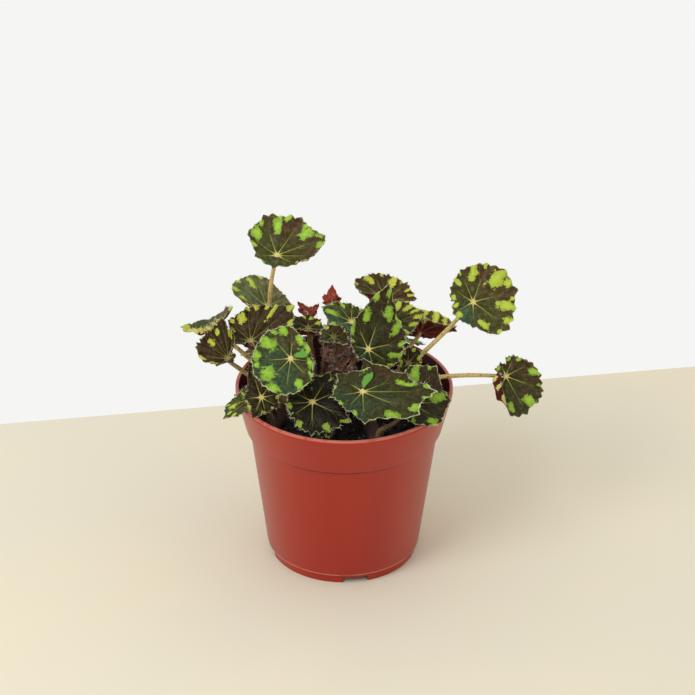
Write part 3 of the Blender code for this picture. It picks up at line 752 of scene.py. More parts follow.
def leaf_masks(tree, place):
    """Where the veins, the blotches, the hub's star and the pale margin are, from the blade's own fields."""
    masks = {}
    for name in LEAF_FIELDS:
        masks[name] = node(tree, "ShaderNodeAttribute", {}, ATTRIBUTE_NUMBER, attribute_name=name)
    # Three noises, with the size of their grain in millimetres.
    for name, size in (("cloud", 9), ("ragged", 2.4), ("grit", 0.6)):
        settings = {"Vector": place, "Scale": 1 / (size * MM), "Detail": 3.0}
        masks[name] = node(tree, "ShaderNodeTexNoise", settings)
    # The blotch's field is 1 in its middle and 0 at its edge, which the two finer noises fray.
    frayed = node(tree, "ShaderNodeMath", (masks["ragged"], 1.7, masks["blotch"]), operation="MULTIPLY_ADD")
    frayed = node(tree, "ShaderNodeMath", (masks["grit"], 0.9, frayed), operation="MULTIPLY_ADD")
    masks["blotch"] = node(tree, "ShaderNodeMapRange", (frayed, 1.32, 1.46), **SMOOTH)
    masks["core"] = node(tree, "ShaderNodeMapRange", (frayed, 1.55, 2.05), **SMOOTH)
    fade = node(tree, "ShaderNodeMapRange", (masks["share"], 0.1, 0.95, 1.0, 0.3), **SMOOTH)
    fade = node(tree, "ShaderNodeMath", (fade, masks["veined"]), operation="MULTIPLY")
    for name, strength in (("vein", 0.9), ("fork", 0.5), ("branch", 0.28)):
        distance = node(tree, "ShaderNodeMath", (masks[name],), operation="ABSOLUTE")
        line = node(tree, "ShaderNodeMapRange", (distance, 0.4, 1.6, strength, 0.0), **SMOOTH)
        masks[name] = node(tree, "ShaderNodeMath", (line, fade), operation="MULTIPLY")
    near_hub = node(tree, "ShaderNodeMapRange", (masks["reach"], 1.4, 4.0, 1.0, 0.0), **SMOOTH)
    disc = node(tree, "ShaderNodeMapRange", (masks["reach"], 1.2, 1.8, 1.0, 0.0), **SMOOTH)
    disc = node(tree, "ShaderNodeMath", (disc, masks["veined"]), operation="MULTIPLY")
    star = node(tree, "ShaderNodeMath", (near_hub, masks["vein"]), operation="MULTIPLY")
    masks["hub"] = node(tree, "ShaderNodeMath", (star, disc), operation="MAXIMUM")
    # The bright lobe is a brighter green, partly painted highlight.
    torn = node(tree, "ShaderNodeMath", (masks["ragged"], 1.2, masks["lobe"]), operation="MULTIPLY_ADD")
    masks["lobe"] = node(tree, "ShaderNodeMapRange", (torn, 0.95, 1.15, 0.0, 0.85), **SMOOTH)
    margin = node(tree, "ShaderNodeMapRange", (masks["share"], 0.968, 0.99), **SMOOTH)
    broken = node(tree, "ShaderNodeMapRange", (masks["ragged"], 0.38, 0.56, 0.2, 1.0), **SMOOTH)
    margin = node(tree, "ShaderNodeMath", (margin, broken), operation="MULTIPLY")
    masks["margin"] = node(tree, "ShaderNodeMath", (margin, masks["edge"]), operation="MULTIPLY")
    # A darkness above 0 is painted shade, and one below 0 makes the blade paler as painted light.
    masks["pale"] = node(tree, "ShaderNodeMath", (masks["dark"], -1.0), operation="MULTIPLY", use_clamp=True)
    masks["dark"] = node(tree, "ShaderNodeMath", (masks["dark"], 1.0), operation="MULTIPLY", use_clamp=True)
    return masks


def leaf_upper_material():
    """Begonia leaf: satin skin in brown, olive and blue-green, partly painted light, with frayed lime
    blotches and pale veins.
    """
    material, tree, shader, place = new_material("begonia leaf, upper side", 0.45, 1.42, specular=0.15)
    masks = leaf_masks(tree, place)
    # The brown field carries painted light: browner on the lit side, blue-green as painted sheen on the far
    # side.
    browned = node(tree, "ShaderNodeMath", (masks["cloud"], 1.6, masks["brown"]), operation="MULTIPLY_ADD")
    olive = node(tree, "ShaderNodeMapRange", (browned, 0.7, 1.2), **SMOOTH)
    brown = node(tree, "ShaderNodeMapRange", (browned, 1.3, 2.2), **SMOOTH)
    light_spots = node(tree, "ShaderNodeMapRange", (masks["ragged"], 0.52, 0.72, 0.0, 0.27), **SMOOTH)
    dark_spots = node(tree, "ShaderNodeMapRange", (masks["ragged"], 0.36, 0.52, 0.36, 0.0), **SMOOTH)
    specks = node(tree, "ShaderNodeMapRange", (masks["grit"], 0.66, 0.72, 0.0, 0.3), **SMOOTH)
    # Painted shade darkens the blade and its blotches where the leaf is dark, and painted light lightens it
    # where pale.
    shade = node(tree, "ShaderNodeMath", (masks["dark"], 0.6), operation="MULTIPLY")
    tones = [(masks["core"], "#93bd3a"), (masks["yellow"], "#c8c649"), (shade, "#406a0a")]
    lime = layered(tree, "#719a34", tones)
    layers = [
        (olive, "#444420"),
        (brown, "#4c3720"),
        (masks["pale"], "#8d9062"),
        (light_spots, "#86803f"),
        (masks["dark"], "#100a04"),
        (dark_spots, "#120c04"),
        (masks["lobe"], "#5f9a3a"),
        (masks["blotch"], lime),
        (specks, "#aab08e"),
        (masks["branch"], "#70762f"),
        (masks["fork"], "#83863a"),
        (masks["vein"], "#9a9c45"),
        (masks["hub"], "#d2c27a"),
        (masks["margin"], "#c3c684"),
    ]
    paint(tree, shader, "#3a5136", layers)
    pebbled = node(tree, "ShaderNodeTexNoise", {"Vector": place, "Scale": 1 / (0.9 * MM), "Detail": 1.0})
    height = node(tree, "ShaderNodeMath", (masks["vein"], -0.8, pebbled), operation="MULTIPLY_ADD")
    rough_up(tree, shader, height, 0.18)
    return material


def leaf_under_material():
    """Begonia leaf, lower side: dull dark red, with raised pinkish veins and blotches that show through,
    painted bright partly as light through the leaf.
    """
    material, tree, shader, place = new_material("begonia leaf, lower side", 0.55, 1.42, specular=0.2)
    masks = leaf_masks(tree, place)
    # Paler where pale, as painted light, and darker where dark, as painted shade. The blotches' bright
    # colour is partly painted light shining through the leaf.
    layers = [
        (node(tree, "ShaderNodeMapRange", (masks["cloud"], 0.35, 0.6, 0.0, 0.75), **SMOOTH), "#3f130e"),
        (masks["pale"], "#8a5a3a"),
        (masks["blotch"], "#dedb78"),
        (masks["branch"], "#7a3a30"),
        (masks["fork"], "#8a4638"),
        (masks["vein"], "#a86a55"),
        (masks["margin"], "#a0604a"),
        (masks["dark"], "#180a07"),
    ]
    paint(tree, shader, "#6a241c", layers)
    height = node(tree, "ShaderNodeMath", (masks["vein"], 2.0, masks["grit"]), operation="MULTIPLY_ADD")
    rough_up(tree, shader, height, 0.12)
    return material


def leaf_rim_material():
    """Begonia leaf, cut edge: pale where the green shows through, brown between."""
    material, tree, shader, place = new_material("begonia leaf, edge", 0.5, 1.42)
    patch = node(tree, "ShaderNodeTexNoise", {"Vector": place, "Scale": 1 / (2.5 * MM), "Detail": 2.0})
    pale = node(tree, "ShaderNodeAttribute", {}, ATTRIBUTE_NUMBER, attribute_name="edge")
    brown = node(tree, "ShaderNodeMapRange", (patch, 0.44, 0.58, 0.0, 0.85), **SMOOTH)
    paint(tree, shader, "#3b241a", [(pale, "#b4b66e"), (brown, "#4c3a22")])
    return material


def hair_material(name, code, tinge_code):
    """Plant hair: fine and almost colourless, so it catches the light."""
    return mottled_material(name, 0.4, code, [(6, 2.0, 0.4, 0.7, 0.7, tinge_code)])


def stalk_material():
    """Begonia leaf stalk: fleshy and tan, with short red-brown flecks drawn out along it."""
    material, tree, shader = new_material("begonia stalk", 0.45, specular=0.35)[:3]
    skin = node(tree, "ShaderNodeAttribute", {}, ATTRIBUTE_VECTOR, attribute_name="skin")
    ruddy = node(tree, "ShaderNodeAttribute", {}, ATTRIBUTE_NUMBER, attribute_name="ruddy")
    drawn = node(tree, "ShaderNodeMapping", {"Vector": skin, "Scale": (1, 1, 0.4)})
    flecks = node(tree, "ShaderNodeTexNoise", {"Vector": drawn, "Scale": 1 / (0.75 * MM), "Detail": 1.5})
    tint = node(tree, "ShaderNodeTexNoise", {"Vector": drawn, "Scale": 1 / (7 * MM), "Detail": 1.5})
    layers = [
        (node(tree, "ShaderNodeMapRange", (tint, 0.42, 0.68, 0.0, 0.7), **SMOOTH), "#a39a52"),
        (ruddy, "#6b4030"),
        (node(tree, "ShaderNodeMapRange", (flecks, 0.56, 0.66, 0.0, 0.8), **SMOOTH), "#7f452c"),
    ]
    paint(tree, shader, "#c4aa68", layers)
    rough_up(tree, shader, flecks, 0.05)
    return material


def young_leaf_material(name, code, dark_code, streak_and_highlight_code, edge_code):
    """Begonia leaf, just opened: thin and wine red, with pale streaks, partly its own colour and partly
    painted highlight.
    """
    material, tree, shader, place = new_material(name, 0.45, specular=0.3)
    masks = leaf_masks(tree, place)
    # Pale streaks towards the middle: partly the leaf's own colour, partly painted highlight.
    streaks = node(tree, "ShaderNodeMapRange", (masks["ragged"], 0.52, 0.64, 0.0, 0.75), **SMOOTH)
    inner = node(tree, "ShaderNodeMapRange", (masks["share"], 0.35, 0.75, 1.0, 0.0), **SMOOTH)
    streaks_and_highlights = node(tree, "ShaderNodeMath", (streaks, inner), operation="MULTIPLY")
    layers = [
        (node(tree, "ShaderNodeMapRange", (masks["cloud"], 0.35, 0.65), **SMOOTH), dark_code),
        (streaks_and_highlights, streak_and_highlight_code),
        (masks["fork"], "#a45a45"),
        (masks["vein"], "#b98468"),
        (masks["margin"], edge_code),
    ]
    paint(tree, shader, code, layers)
    rough_up(tree, shader, masks["grit"], 0.12)
    return material


def pot_material(name, code, flow_code, dust_and_highlight_code):
    """Polypropylene, injection moulded and terracotta-coloured: smooth, with a broad soft gloss.

    Pale lines at its lip and at the edge above its foot are partly scuff wear and partly painted highlight,
    and the dark line under its collar is painted shade."""
    material, tree, shader, place = new_material(name, 0.3, 1.49, specular=0.4)
    height = node(tree, "ShaderNodeSeparateXYZ", (place,), 2)
    drawn = node(tree, "ShaderNodeMapping", {"Vector": place, "Scale": (1, 1, 0.15)})
    flow = node(tree, "ShaderNodeTexNoise", {"Vector": drawn, "Scale": 1 / (30 * MM), "Detail": 0.0})
    dust = node(tree, "ShaderNodeTexNoise", {"Vector": place, "Scale": 1 / (5 * MM), "Detail": 2.0})
    patchy = node(tree, "ShaderNodeMapRange", (dust, 0.3, 0.5, 0.4, 1.0), **SMOOTH)
    layers = [
        (node(tree, "ShaderNodeMapRange", (flow, 0.35, 0.65, 0.0, 0.5), **SMOOTH), flow_code),
        (node(tree, "ShaderNodeMapRange", (dust, 0.6, 0.78, 0.0, 0.03), **SMOOTH), dust_and_highlight_code),
    ]
    # Each line runs round the pot at a height, with a reach to both sides, a strength and a colour.
    for middle, reach, strength, line_code in (
        # The lip's and the foot's pale lines: partly scuff wear, partly painted highlight.
        (POT_HEIGHT - 0.3, 0.8, 0.5, dust_and_highlight_code),
        (FOOT_HEIGHT + 0.2, 0.6, 0.7, dust_and_highlight_code),
        # The dark line under the collar: painted shade.
        (COLLAR_HEIGHT - 1.4, 0.8, 0.95, "#4a0f06"),
    ):
        away = node(tree, "ShaderNodeMath", (height, -middle * MM), operation="ADD")
        away = node(tree, "ShaderNodeMath", (away,), operation="ABSOLUTE")
        limits = (away, 0.4 * reach * MM, reach * MM, strength, 0.0)
        line = node(tree, "ShaderNodeMapRange", limits, **SMOOTH)
        line = node(tree, "ShaderNodeMath", (line, patchy), operation="MULTIPLY")
        layers.append((line, line_code))
    paint(tree, shader, code, layers)
    return material


def compost_material(name, dark_code, light_code):
    """Peat compost: matt, crumbly and nearly black where it is damp."""
    patches = [(5, 4.0, 0.45, 0.7, 0.6, light_code), (0.9, 4.0, 0.62, 0.7, 0.5, "#57493a")]
    return mottled_material(name, 0.92, dark_code, patches, 0.5)


def rhizome_material():
    """Begonia rhizome: corky brown skin, with olive showing between darker pits."""
    patches = [(5, 3.0, 0.45, 0.7, 0.7, "#5a4a30"), (0.8, 3.0, 0.55, 0.7, 0.6, "#2a1610")]
    return mottled_material("begonia rhizome skin", 0.7, "#3f251b", patches, 0.3)


def scale_material():
    """Begonia stipule: a thin dry scale, pinkish brown, with paler fibres."""
    patches = [(3, 2.0, 0.4, 0.65, 1.0, "#5d3327"), (0.5, 2.0, 0.6, 0.7, 0.5, "#b59a80")]
    return mottled_material("papery begonia scale", 0.55, "#8c6350", patches, 0.1)


def table_material():
    """Painted board: matt, pale and slightly warm."""
    return mottled_material("matt pale board", 0.75, "#ddd3b9", [(160, 2.0, 0.35, 0.65, 1.0, "#d9d1bb")])


def new_object(name, bm):
    mesh = bpy.data.meshes.new(name)
    bm.to_mesh(mesh)
    bm.free()
    obj = bpy.data.objects.new(name, mesh)
    bpy.context.scene.collection.objects.link(obj)
    return obj


def with_modifiers_applied(obj):
    """The same object, with the shape that its modifiers give as its mesh."""
    graph = bpy.context.evaluated_depsgraph_get()
    mesh = bpy.data.meshes.new_from_object(obj.evaluated_get(graph), depsgraph=graph)
    obj.modifiers.clear()
    obj.data = mesh
    return obj


def smooth(obj, sharp_angle=45):
    obj.data.shade_smooth()
    obj.data.set_sharp_from_angle(angle=math.radians(sharp_angle))


def finished(obj, slot, *replaced):
    """Tie a piece to the model: its body and the solids it stands for. Its slot is not used."""
    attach(obj, BODY)
    if replaced:
        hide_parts(*replaced)


def write_field(mesh, name, values):
    """Give each vertex its number, under the name that the materials read it by."""
    mesh.attributes.new(name, "FLOAT", "POINT").data.foreach_set("value", np.asarray(values, np.float32))


def eased(values, phase):
    """The values at the phases, on a smooth curve through one value for each knot that never overshoots."""
    values = np.array(values, float)
    secants = np.diff(values) / np.diff(KNOTS)
    slopes = np.gradient(values, KNOTS)
    most = STEEPEST * np.minimum(np.abs(secants[:-1]), np.abs(secants[1:]))
    turning = secants[:-1] * secants[1:] <= 0
    slopes[1:-1] = np.where(turning, 0, np.clip(slopes[1:-1], -most, most))
    index = np.clip(np.searchsorted(KNOTS, phase, side="right") - 1, 0, len(KNOTS) - 2)
    step = KNOTS[index + 1] - KNOTS[index]
    t = (phase - KNOTS[index]) / step
    return (
        (2 * t**3 - 3 * t**2 + 1) * values[index]
        + (t**3 - 2 * t**2 + t) * slopes[index] * step
        + (3 * t**2 - 2 * t**3) * values[index + 1]
        + (t**3 - t**2) * slopes[index + 1] * step
    )


def table_phase(look, phase):
    """The phase in the leaf's table that a drawn phase stands for: whole numbers are the drawn veins."""
    return np.interp(phase, KNOTS, [KNOTS[0], *look.places, KNOTS[-1]])


def knot_values(leaf, look):
    """Directions and lengths that the margin passes through, from one side of the sinus to the other."""
    directions = [direction for direction, length in leaf.veins]
    lengths = [length for direction, length in leaf.veins]
    overlap = LOBE_OVERLAP if look.lobe else SINUS_OVERLAP
    half_gap = 0.5 * (directions[0] + 360 - directions[-1] + overlap)
    directions = [directions[0] - half_gap, *directions, directions[-1] + half_gap]
    lengths = [LOBE_SHARE * lengths[0], *lengths, LOBE_SHARE * lengths[-1]]
    return np.array(directions, float), np.array(lengths)


def directions_at(leaf, look, phase):
    """Direction in degrees at each drawn phase. The lobes beside the sinus overlap."""
    return eased(knot_values(leaf, look)[0], table_phase(look, phase))


def lengths_at(leaf, look, phase):
    """Length at each drawn phase, nearly straight from one lobe's tip to the next, and drawn in at dents."""
    directions, lengths = knot_values(leaf, look)
    placed = table_phase(look, phase)
    index = np.clip(np.searchsorted(KNOTS, placed, side="right") - 1, 0, len(KNOTS) - 2)
    turned = np.radians(eased(directions, placed))
    first, last = np.radians(directions[index]), np.radians(directions[index + 1])
    near, far = lengths[index], lengths[index + 1]
    straight = near * far * np.sin(last - first)
    straight = straight / (near * np.sin(turned - first) + far * np.sin(last - turned))
    curved = eased(lengths, placed)
    reach = np.maximum(curved + look.straight * (straight - curved), LEAST_REACH * curved)
    for middle, width, depth in look.dents:
        reach = reach * (1 - depth * np.clip(1 - np.abs(placed - middle) / width, 0, 1))
    return reach


def teeth(phase, depth, seed):
    """Share of the full length that the margin reaches at each phase, with one depth for each phase.

    The tooth at each vein is the longest."""
    rng = np.random.default_rng(seed)
    reach = np.zeros_like(phase)
    for number in range(-TEETH_PER_VEIN, (VEINS + 1) * TEETH_PER_VEIN):
        at_vein = number % TEETH_PER_VEIN == 0
        size = rng.uniform(*VEIN_TOOTH) if at_vein else rng.uniform(*OTHER_TOOTH)
        place = number / TEETH_PER_VEIN + (0 if at_vein else rng.uniform(-TOOTH_STRAY, TOOTH_STRAY))
        near = np.clip(1 - np.abs(phase - place) / TOOTH_WIDTH, 0, 1)
        reach = np.maximum(reach, size * near**TOOTH_POINT)
    return 1.0 - depth * (1 - reach)


def blade_axes(leaf):
    """The blade's level direction, its uphill direction and the normal of its upper side."""
    azimuth, elevation = np.radians(leaf.faces)
    level = math.cos(elevation)
    normal = np.array((level * math.cos(azimuth), level * math.sin(azimuth), math.sin(elevation)))
    side = np.array((-math.sin(azimuth), math.cos(azimuth), 0))
    return side, np.cross(normal, side), normal


def margin_slopes(leaf, direction):
    """Slope of the blade at its margin in each direction, in radians: its cup, and its curls on top."""
    slope = np.full_like(direction, float(leaf.cup))
    for towards, extra in leaf.curls:
        slope += extra * np.clip(np.cos(np.radians(direction - towards)), 0, None) ** 2
    return np.radians(slope)


def wrapped(angle):
    """The same angle in degrees, from -180 to 180."""
    return (angle + 180) % 360 - 180


def bend_at(leaf, look, direction, share):
    """How far the blade has turned up from its hub's plane, in radians, at a share of the way out."""
    bend = margin_slopes(leaf, direction) * share
    for towards, half_width, turn, start in look.rolls:
        near = np.clip(1 - (wrapped(direction - towards) / half_width) ** 2, 0, 1)
        rolled = np.clip((share - start) / ROLL_LENGTH, 0, 1)
        bend = bend + math.radians(turn) * near * rolled * rolled * (3 - 2 * rolled)
    return bend


Form = namedtuple("Form", "points outward normal length spread direction")


def blade_form(leaf, look, phase, share, seed):
    """Points of the smooth upper side, in millimetres, with the outward direction and the normal at each."""
    direction = directions_at(leaf, look, phase)
    length = lengths_at(leaf, look, phase)
    if look.lobe:
        direction = direction - LOBE_BOW * np.clip(phase / KNOTS[0], 0, 1) ** 2 * np.sin(math.pi * share)
    ahead, behind = np.minimum(phase + PHASE_STEP, KNOTS[-1]), np.maximum(phase - PHASE_STEP, KNOTS[0])
    turning = np.radians(directions_at(leaf, look, ahead) - directions_at(leaf, look, behind))
    spread = np.maximum(turning / (2 * PHASE_STEP), LEAST_SPREAD)
    growing = lengths_at(leaf, look, ahead) - lengths_at(leaf, look, behind)
    fall = growing / (2 * PHASE_STEP) / (length * spread)
    # Where the veins are close, or the margin runs aslant to them, the teeth are small.
    depth = look.teeth * np.clip(spread / USUAL_SPREAD, *TOOTH_CROWDING) / np.hypot(1, fall)
    distance = length * share * (1 - (1 - teeth(phase, depth, seed)) * share**3)
    # The bends along the way out, whose sum gives how far out and how high the ray comes.
    shares = share[:, None] * (np.arange(RAY_STEPS) + 0.5) / RAY_STEPS
    bends = bend_at(leaf, look, direction[:, None], shares)
    out = distance * np.cos(bends).mean(axis=1)
    lift = distance * np.sin(bends).mean(axis=1)
    end = bend_at(leaf, look, direction, share)
    side, uphill, normal = blade_axes(leaf)
    turn = np.radians(direction)
    radial = np.cos(turn)[:, None] * side + np.sin(turn)[:, None] * uphill
    points = np.array(leaf.hub) + out[:, None] * radial + lift[:, None] * normal
    outward = np.cos(end)[:, None] * radial + np.sin(end)[:, None] * normal
    upward = np.cos(end)[:, None] * normal - np.sin(end)[:, None] * radial
    return Form(points, outward, upward, length, length * spread, direction)


def bent_phase(phase, share, seed):
    """The phase that a vein is drawn by, which sways a little on its way out."""
    return phase + VEIN_BEND * share * np.sin(4.5 * share + 1.7 * phase + seed)


def relief(form, look, phase, share, seed):
    """Height over the smooth form: sunken veins, swollen fields between them and a wavy margin."""
    rng = np.random.default_rng(seed + 500)
    shifts = rng.uniform(0, math.tau, 4)
    bent = bent_phase(phase, share, seed)
    from_vein = np.abs(bent - np.round(bent)) * form.spread * share
    groove = -HUB_DIP * np.exp(-((from_vein / GROOVE_WIDTH) ** 2)) * (1 - 0.5 * share)
    field = np.sin(math.pi * (phase % 1.0)) ** 2 * np.sin(math.pi * np.clip(share, 0, 1) ** 0.9)
    wave = 0.0
    for (height, rate), shift in zip(MARGIN_WAVES, shifts):
        wave = wave + height * np.sin(math.tau * rate * phase + shift)
    round_rate, outward_rate = DIMPLE_RATES
    dimples = np.sin(math.tau * round_rate * phase + shifts[3]) * np.sin(outward_rate * share + shifts[1])
    return groove + FIELD_RISE * field + DIMPLE_RISE * dimples * share + look.ripple * wave * share**3


def chosen_blotches(look, seed):
    """The look's own blotches, or else a big one in each sector and a small one in most forks."""
    if look.blotches:
        return look.blotches
    rng = np.random.default_rng(seed + 900)
    shifts, outs, longs = FORK_BLOTCH
    marks = []
    for vein in range(-1, VEINS):
        middle = min(max(vein + 0.5, -0.3), 6.3)
        marks.append((middle, *(rng.uniform(*limits) for limits in BIG_BLOTCH)))
        if rng.uniform() < FORKS_WITH_BLOTCH:
            place = (vein + rng.uniform(*shifts), rng.uniform(*outs))
            marks.append((*place, FORK_BLOTCH_WIDTH, rng.uniform(*longs)))
    return marks


def blotch_field(leaf, look, phase, distance, seed):
    """1 in the middle of a blotch and 0 at its edge. A blotch's share is of the margin's rounded course."""
    placed = table_phase(look, phase)
    share = distance / eased(knot_values(leaf, look)[1], placed)
    field = np.full_like(phase, -2.0)
    for middle, out, wide, long in chosen_blotches(look, seed):
        across = (placed - middle) * share / (BLOTCH_SIZE * wide * out)
        # A blotch runs on outwards, towards the margin.
        along = (share - out) / (BLOTCH_SIZE * long) * np.where(share > out, BLOTCH_TAIL, 1.0)
        field = np.maximum(field, 1 - np.sqrt(across**2 + along**2))
    return field


def write_leaf_fields(mesh, leaf, form, phase, share, look, seed):
    """What the leaf materials draw by. A line's field is its distance over half its width."""
    bent = bent_phase(phase, share, seed)
    near = np.abs(bent - np.round(bent))
    reach = share * form.length
    width = VEIN_WIDTH * (1 - VEIN_TAPER * share) + HUB_SPREAD * np.exp(-reach / HUB_REACH)
    across = form.spread * share / width
    ending = 2 * np.clip(share - VEIN_END, 0, 1) / (1 - VEIN_END)
    start = FORK_START + FORK_SHIFT * np.sin(2.4 * np.round(bent) + seed)
    forked = FORK_TURN * np.clip((share - start) / (1 - start), 0, 1) ** 1.2
    branched = BRANCH_TURN * np.clip((share - BRANCH_START) / (1 - BRANCH_START), 0, 1) ** 0.85
    # The bright lobe beside the sinus, a green that is partly painted highlight.
    (lobe_phase, lobe_width), (lobe_share, lobe_length) = BRIGHT_LOBE
    lobe = np.exp(-(((phase - lobe_phase) / lobe_width) ** 2) - ((share - lobe_share) / lobe_length) ** 2)
    # Painted light: browner towards the side that faces the light, and blue-green painted sheen away from
    # it. Browner at the margin is the leaf's own colour.
    browner = PAINTED_LIGHT_BROWNING * np.cos(np.radians(form.direction - PAINTED_LIGHT_SIDE)) * share
    browner = browner + BROWNER_OUTWARDS * (share - BROWNER_FROM)
    fields = {
        "vein": near * across + ending,
        "fork": np.where(share < start, NO_LINE, (near - forked) * across * FORK_NARROWING),
        "branch": np.where(share < BRANCH_START, NO_LINE, (near - branched) * across * BRANCH_NARROWING),
        "blotch": blotch_field(leaf, look, phase, reach, seed),
        "share": share,
        "reach": reach,
        "brown": look.brown + browner,
        "lobe": look.lobe * lobe,
    }
    for name in ("yellow", "dark", "edge", "veined"):
        fields[name] = np.full_like(share, getattr(look, name))
    for name, values in fields.items():
        write_field(mesh, name, values)


def flat_blade(name):
    """A flat disc open at the sinus, spun from one ray, with the phase and the share of each vertex."""
    bm = bmesh.new()
    rings = [(index / BLADE_RINGS) ** RING_CROWDING for index in range(BLADE_RINGS + 1)]
    ray = [bm.verts.new((share, 0, 0)) for share in rings]
    edges = [bm.edges.new(pair) for pair in zip(ray, ray[1:])]
    bmesh.ops.spin(
        bm, geom=ray + edges, cent=(0, 0, 0), axis=(0, 0, 1), angle=DISC_SPAN, steps=VEINS * STEPS_PER_VEIN
    )
    bmesh.ops.remove_doubles(bm, verts=bm.verts, dist=0.0001)
    obj = new_object(name, bm)
    flat = np.empty(3 * len(obj.data.vertices))
    obj.data.vertices.foreach_get("co", flat)
    flat = flat.reshape(-1, 3)
    turned = np.arctan2(flat[:, 1], flat[:, 0])
    turned = np.where(turned < -0.0001, turned + math.tau, np.maximum(turned, 0))
    phase = KNOTS[0] + VEINS * np.minimum(turned / DISC_SPAN, 1.0)
    return obj, phase, np.hypot(flat[:, 0], flat[:, 1])


def parted(look, phase, share):
    """How the two lobes beside the sinus pass each other: the first rises and the last sinks."""
    lift = LOBE_LIFT if look.lobe else SINUS_STEP
    first = np.clip(phase / KNOTS[0], 0, 1)
    last = np.clip((phase - KNOTS[-2]) / (KNOTS[-1] - KNOTS[-2]), 0, 1)
    return (lift * first - SINUS_STEP * last) * share


def make_blade(name, leaf, look, seed, materials):
    """A blade: the flat disc moved into its form, given its relief, its fields and its thickness."""
    obj, phase, share = flat_blade(name)
    form = blade_form(leaf, look, phase, share, seed)
    height = relief(form, look, phase, share, seed) + parted(look, phase, share)
    points = form.points + height[:, None] * form.normal
    obj.data.vertices.foreach_set("co", (points * MM).ravel())
    obj.data.update()
    facing = np.empty(3 * len(obj.data.polygons))
    obj.data.polygons.foreach_get("normal", facing)
    if facing.reshape(-1, 3).sum(axis=0) @ blade_axes(leaf)[2] < 0:
        obj.data.flip_normals()
    write_leaf_fields(obj.data, leaf, form, phase, share, look, seed)
    for material in materials:
        obj.data.materials.append(material)
    solidify = obj.modifiers.new("thickness", "SOLIDIFY")
    solidify.thickness = BLADE_THICKNESS * MM
    solidify.offset = -1
    solidify.material_offset = 1
    solidify.material_offset_rim = 2
    with_modifiers_applied(obj)
    smooth(obj)
    return obj


def make_hairs(name, roots, directions, lengths, width, material):
    """Fine tapered hairs, each a three-sided cone on its root."""
    bm = bmesh.new()
    for root, direction, length in zip(roots, directions, lengths):
        aim = Vector(direction).normalized()
        turn = aim.to_track_quat("Z", "Y").to_matrix().to_4x4()
        place = Matrix.Translation((Vector(root) + aim * 0.5 * length) * MM) @ turn
        bmesh.ops.create_cone(
            bm, cap_ends=True, segments=HAIR_SIDES, radius1=width * MM, radius2=0,
            depth=length * MM, matrix=place,
        )
    bmesh.ops.remove_doubles(bm, verts=bm.verts, dist=0.000001)
    bmesh.ops.recalc_face_normals(bm, faces=bm.faces)
    obj = new_object(name, bm)
    obj.data.materials.append(material)
    return obj


def make_lashes(name, leaf, look, seed, count, material):
    """The hairs along a blade's margin, which stand outwards and a little up."""
    rng = np.random.default_rng(seed + 77)
    phase = rng.uniform(KNOTS[0], KNOTS[-1], count)
    share = rng.uniform(*LASH_ROOTS, count)
    form = blade_form(leaf, look, phase, share, seed)
    height = relief(form, look, phase, share, seed) - LASH_SUNK
    along = np.cross(form.normal, form.outward)
    aims = (
        rng.uniform(*LASH_OUTWARD, count)[:, None] * form.outward
        + rng.uniform(*LASH_UPWARD, count)[:, None] * form.normal
        + rng.uniform(*LASH_SIDEWAYS, count)[:, None] * along
    )
    roots = form.points + height[:, None] * form.normal
    return make_hairs(name, roots, aims, rng.uniform(*LASH_LENGTHS, count), LASH_WIDTH, material)


def stalk_foot(leaf):
    """The point above the rhizome's upper side that is nearest to the leaf's foot."""
    wanted = Vector(leaf.foot)
    nearest = None
    for run in RHIZOME_RUNS:
        for first, second in zip(run, run[1:]):
            start, along = Vector(first), Vector(second) - Vector(first)
            share = (wanted - start).dot(along) / along.length_squared
            point = start + min(max(share, 0), 1) * along
            if nearest is None or (point - wanted).length < (nearest - wanted).length:
                nearest = point
    return np.array((nearest.x, nearest.y, RHIZOME_HEIGHT + RHIZOME_RADIUS + FOOT_LIFT))


def stalk_path(leaf):
    """Points along the stalk: straight up from the rhizome, then leaning over to end under the hub."""
    normal = blade_axes(leaf)[2]
    hub = np.array(leaf.hub, float)
    foot = stalk_foot(leaf)
    reach = np.linalg.norm(hub - foot)
    upright = foot + np.array((0, 0, min(UPRIGHT_MOST, UPRIGHT_SHARE * reach)))
    lean = foot + (hub - foot) * LEAN_SHARES
    neck = hub - normal * (HUB_DIP + 0.5 * BLADE_THICKNESS)
    under = neck - normal * min(UNDER_MOST, UNDER_SHARE * reach)
    if leaf.by:
        # The middle guide that makes the curve pass this point half-way.
        lean = (16 * np.array(leaf.by) - foot - 4 * upright - 4 * under - neck) / 6
    guides = (foot - np.array((0, 0, STALK_SUNK)), upright, lean, under, neck)
    t = np.linspace(0, 1, STALK_RINGS)[:, None]
    return sum(math.comb(4, k) * (1 - t) ** (4 - k) * t**k * guide for k, guide in enumerate(guides))


def distances_along(points):
    """How far each point is from the first, along the line through all of them."""
    return np.concatenate([[0], np.cumsum(np.linalg.norm(np.diff(points, axis=0), axis=1))])


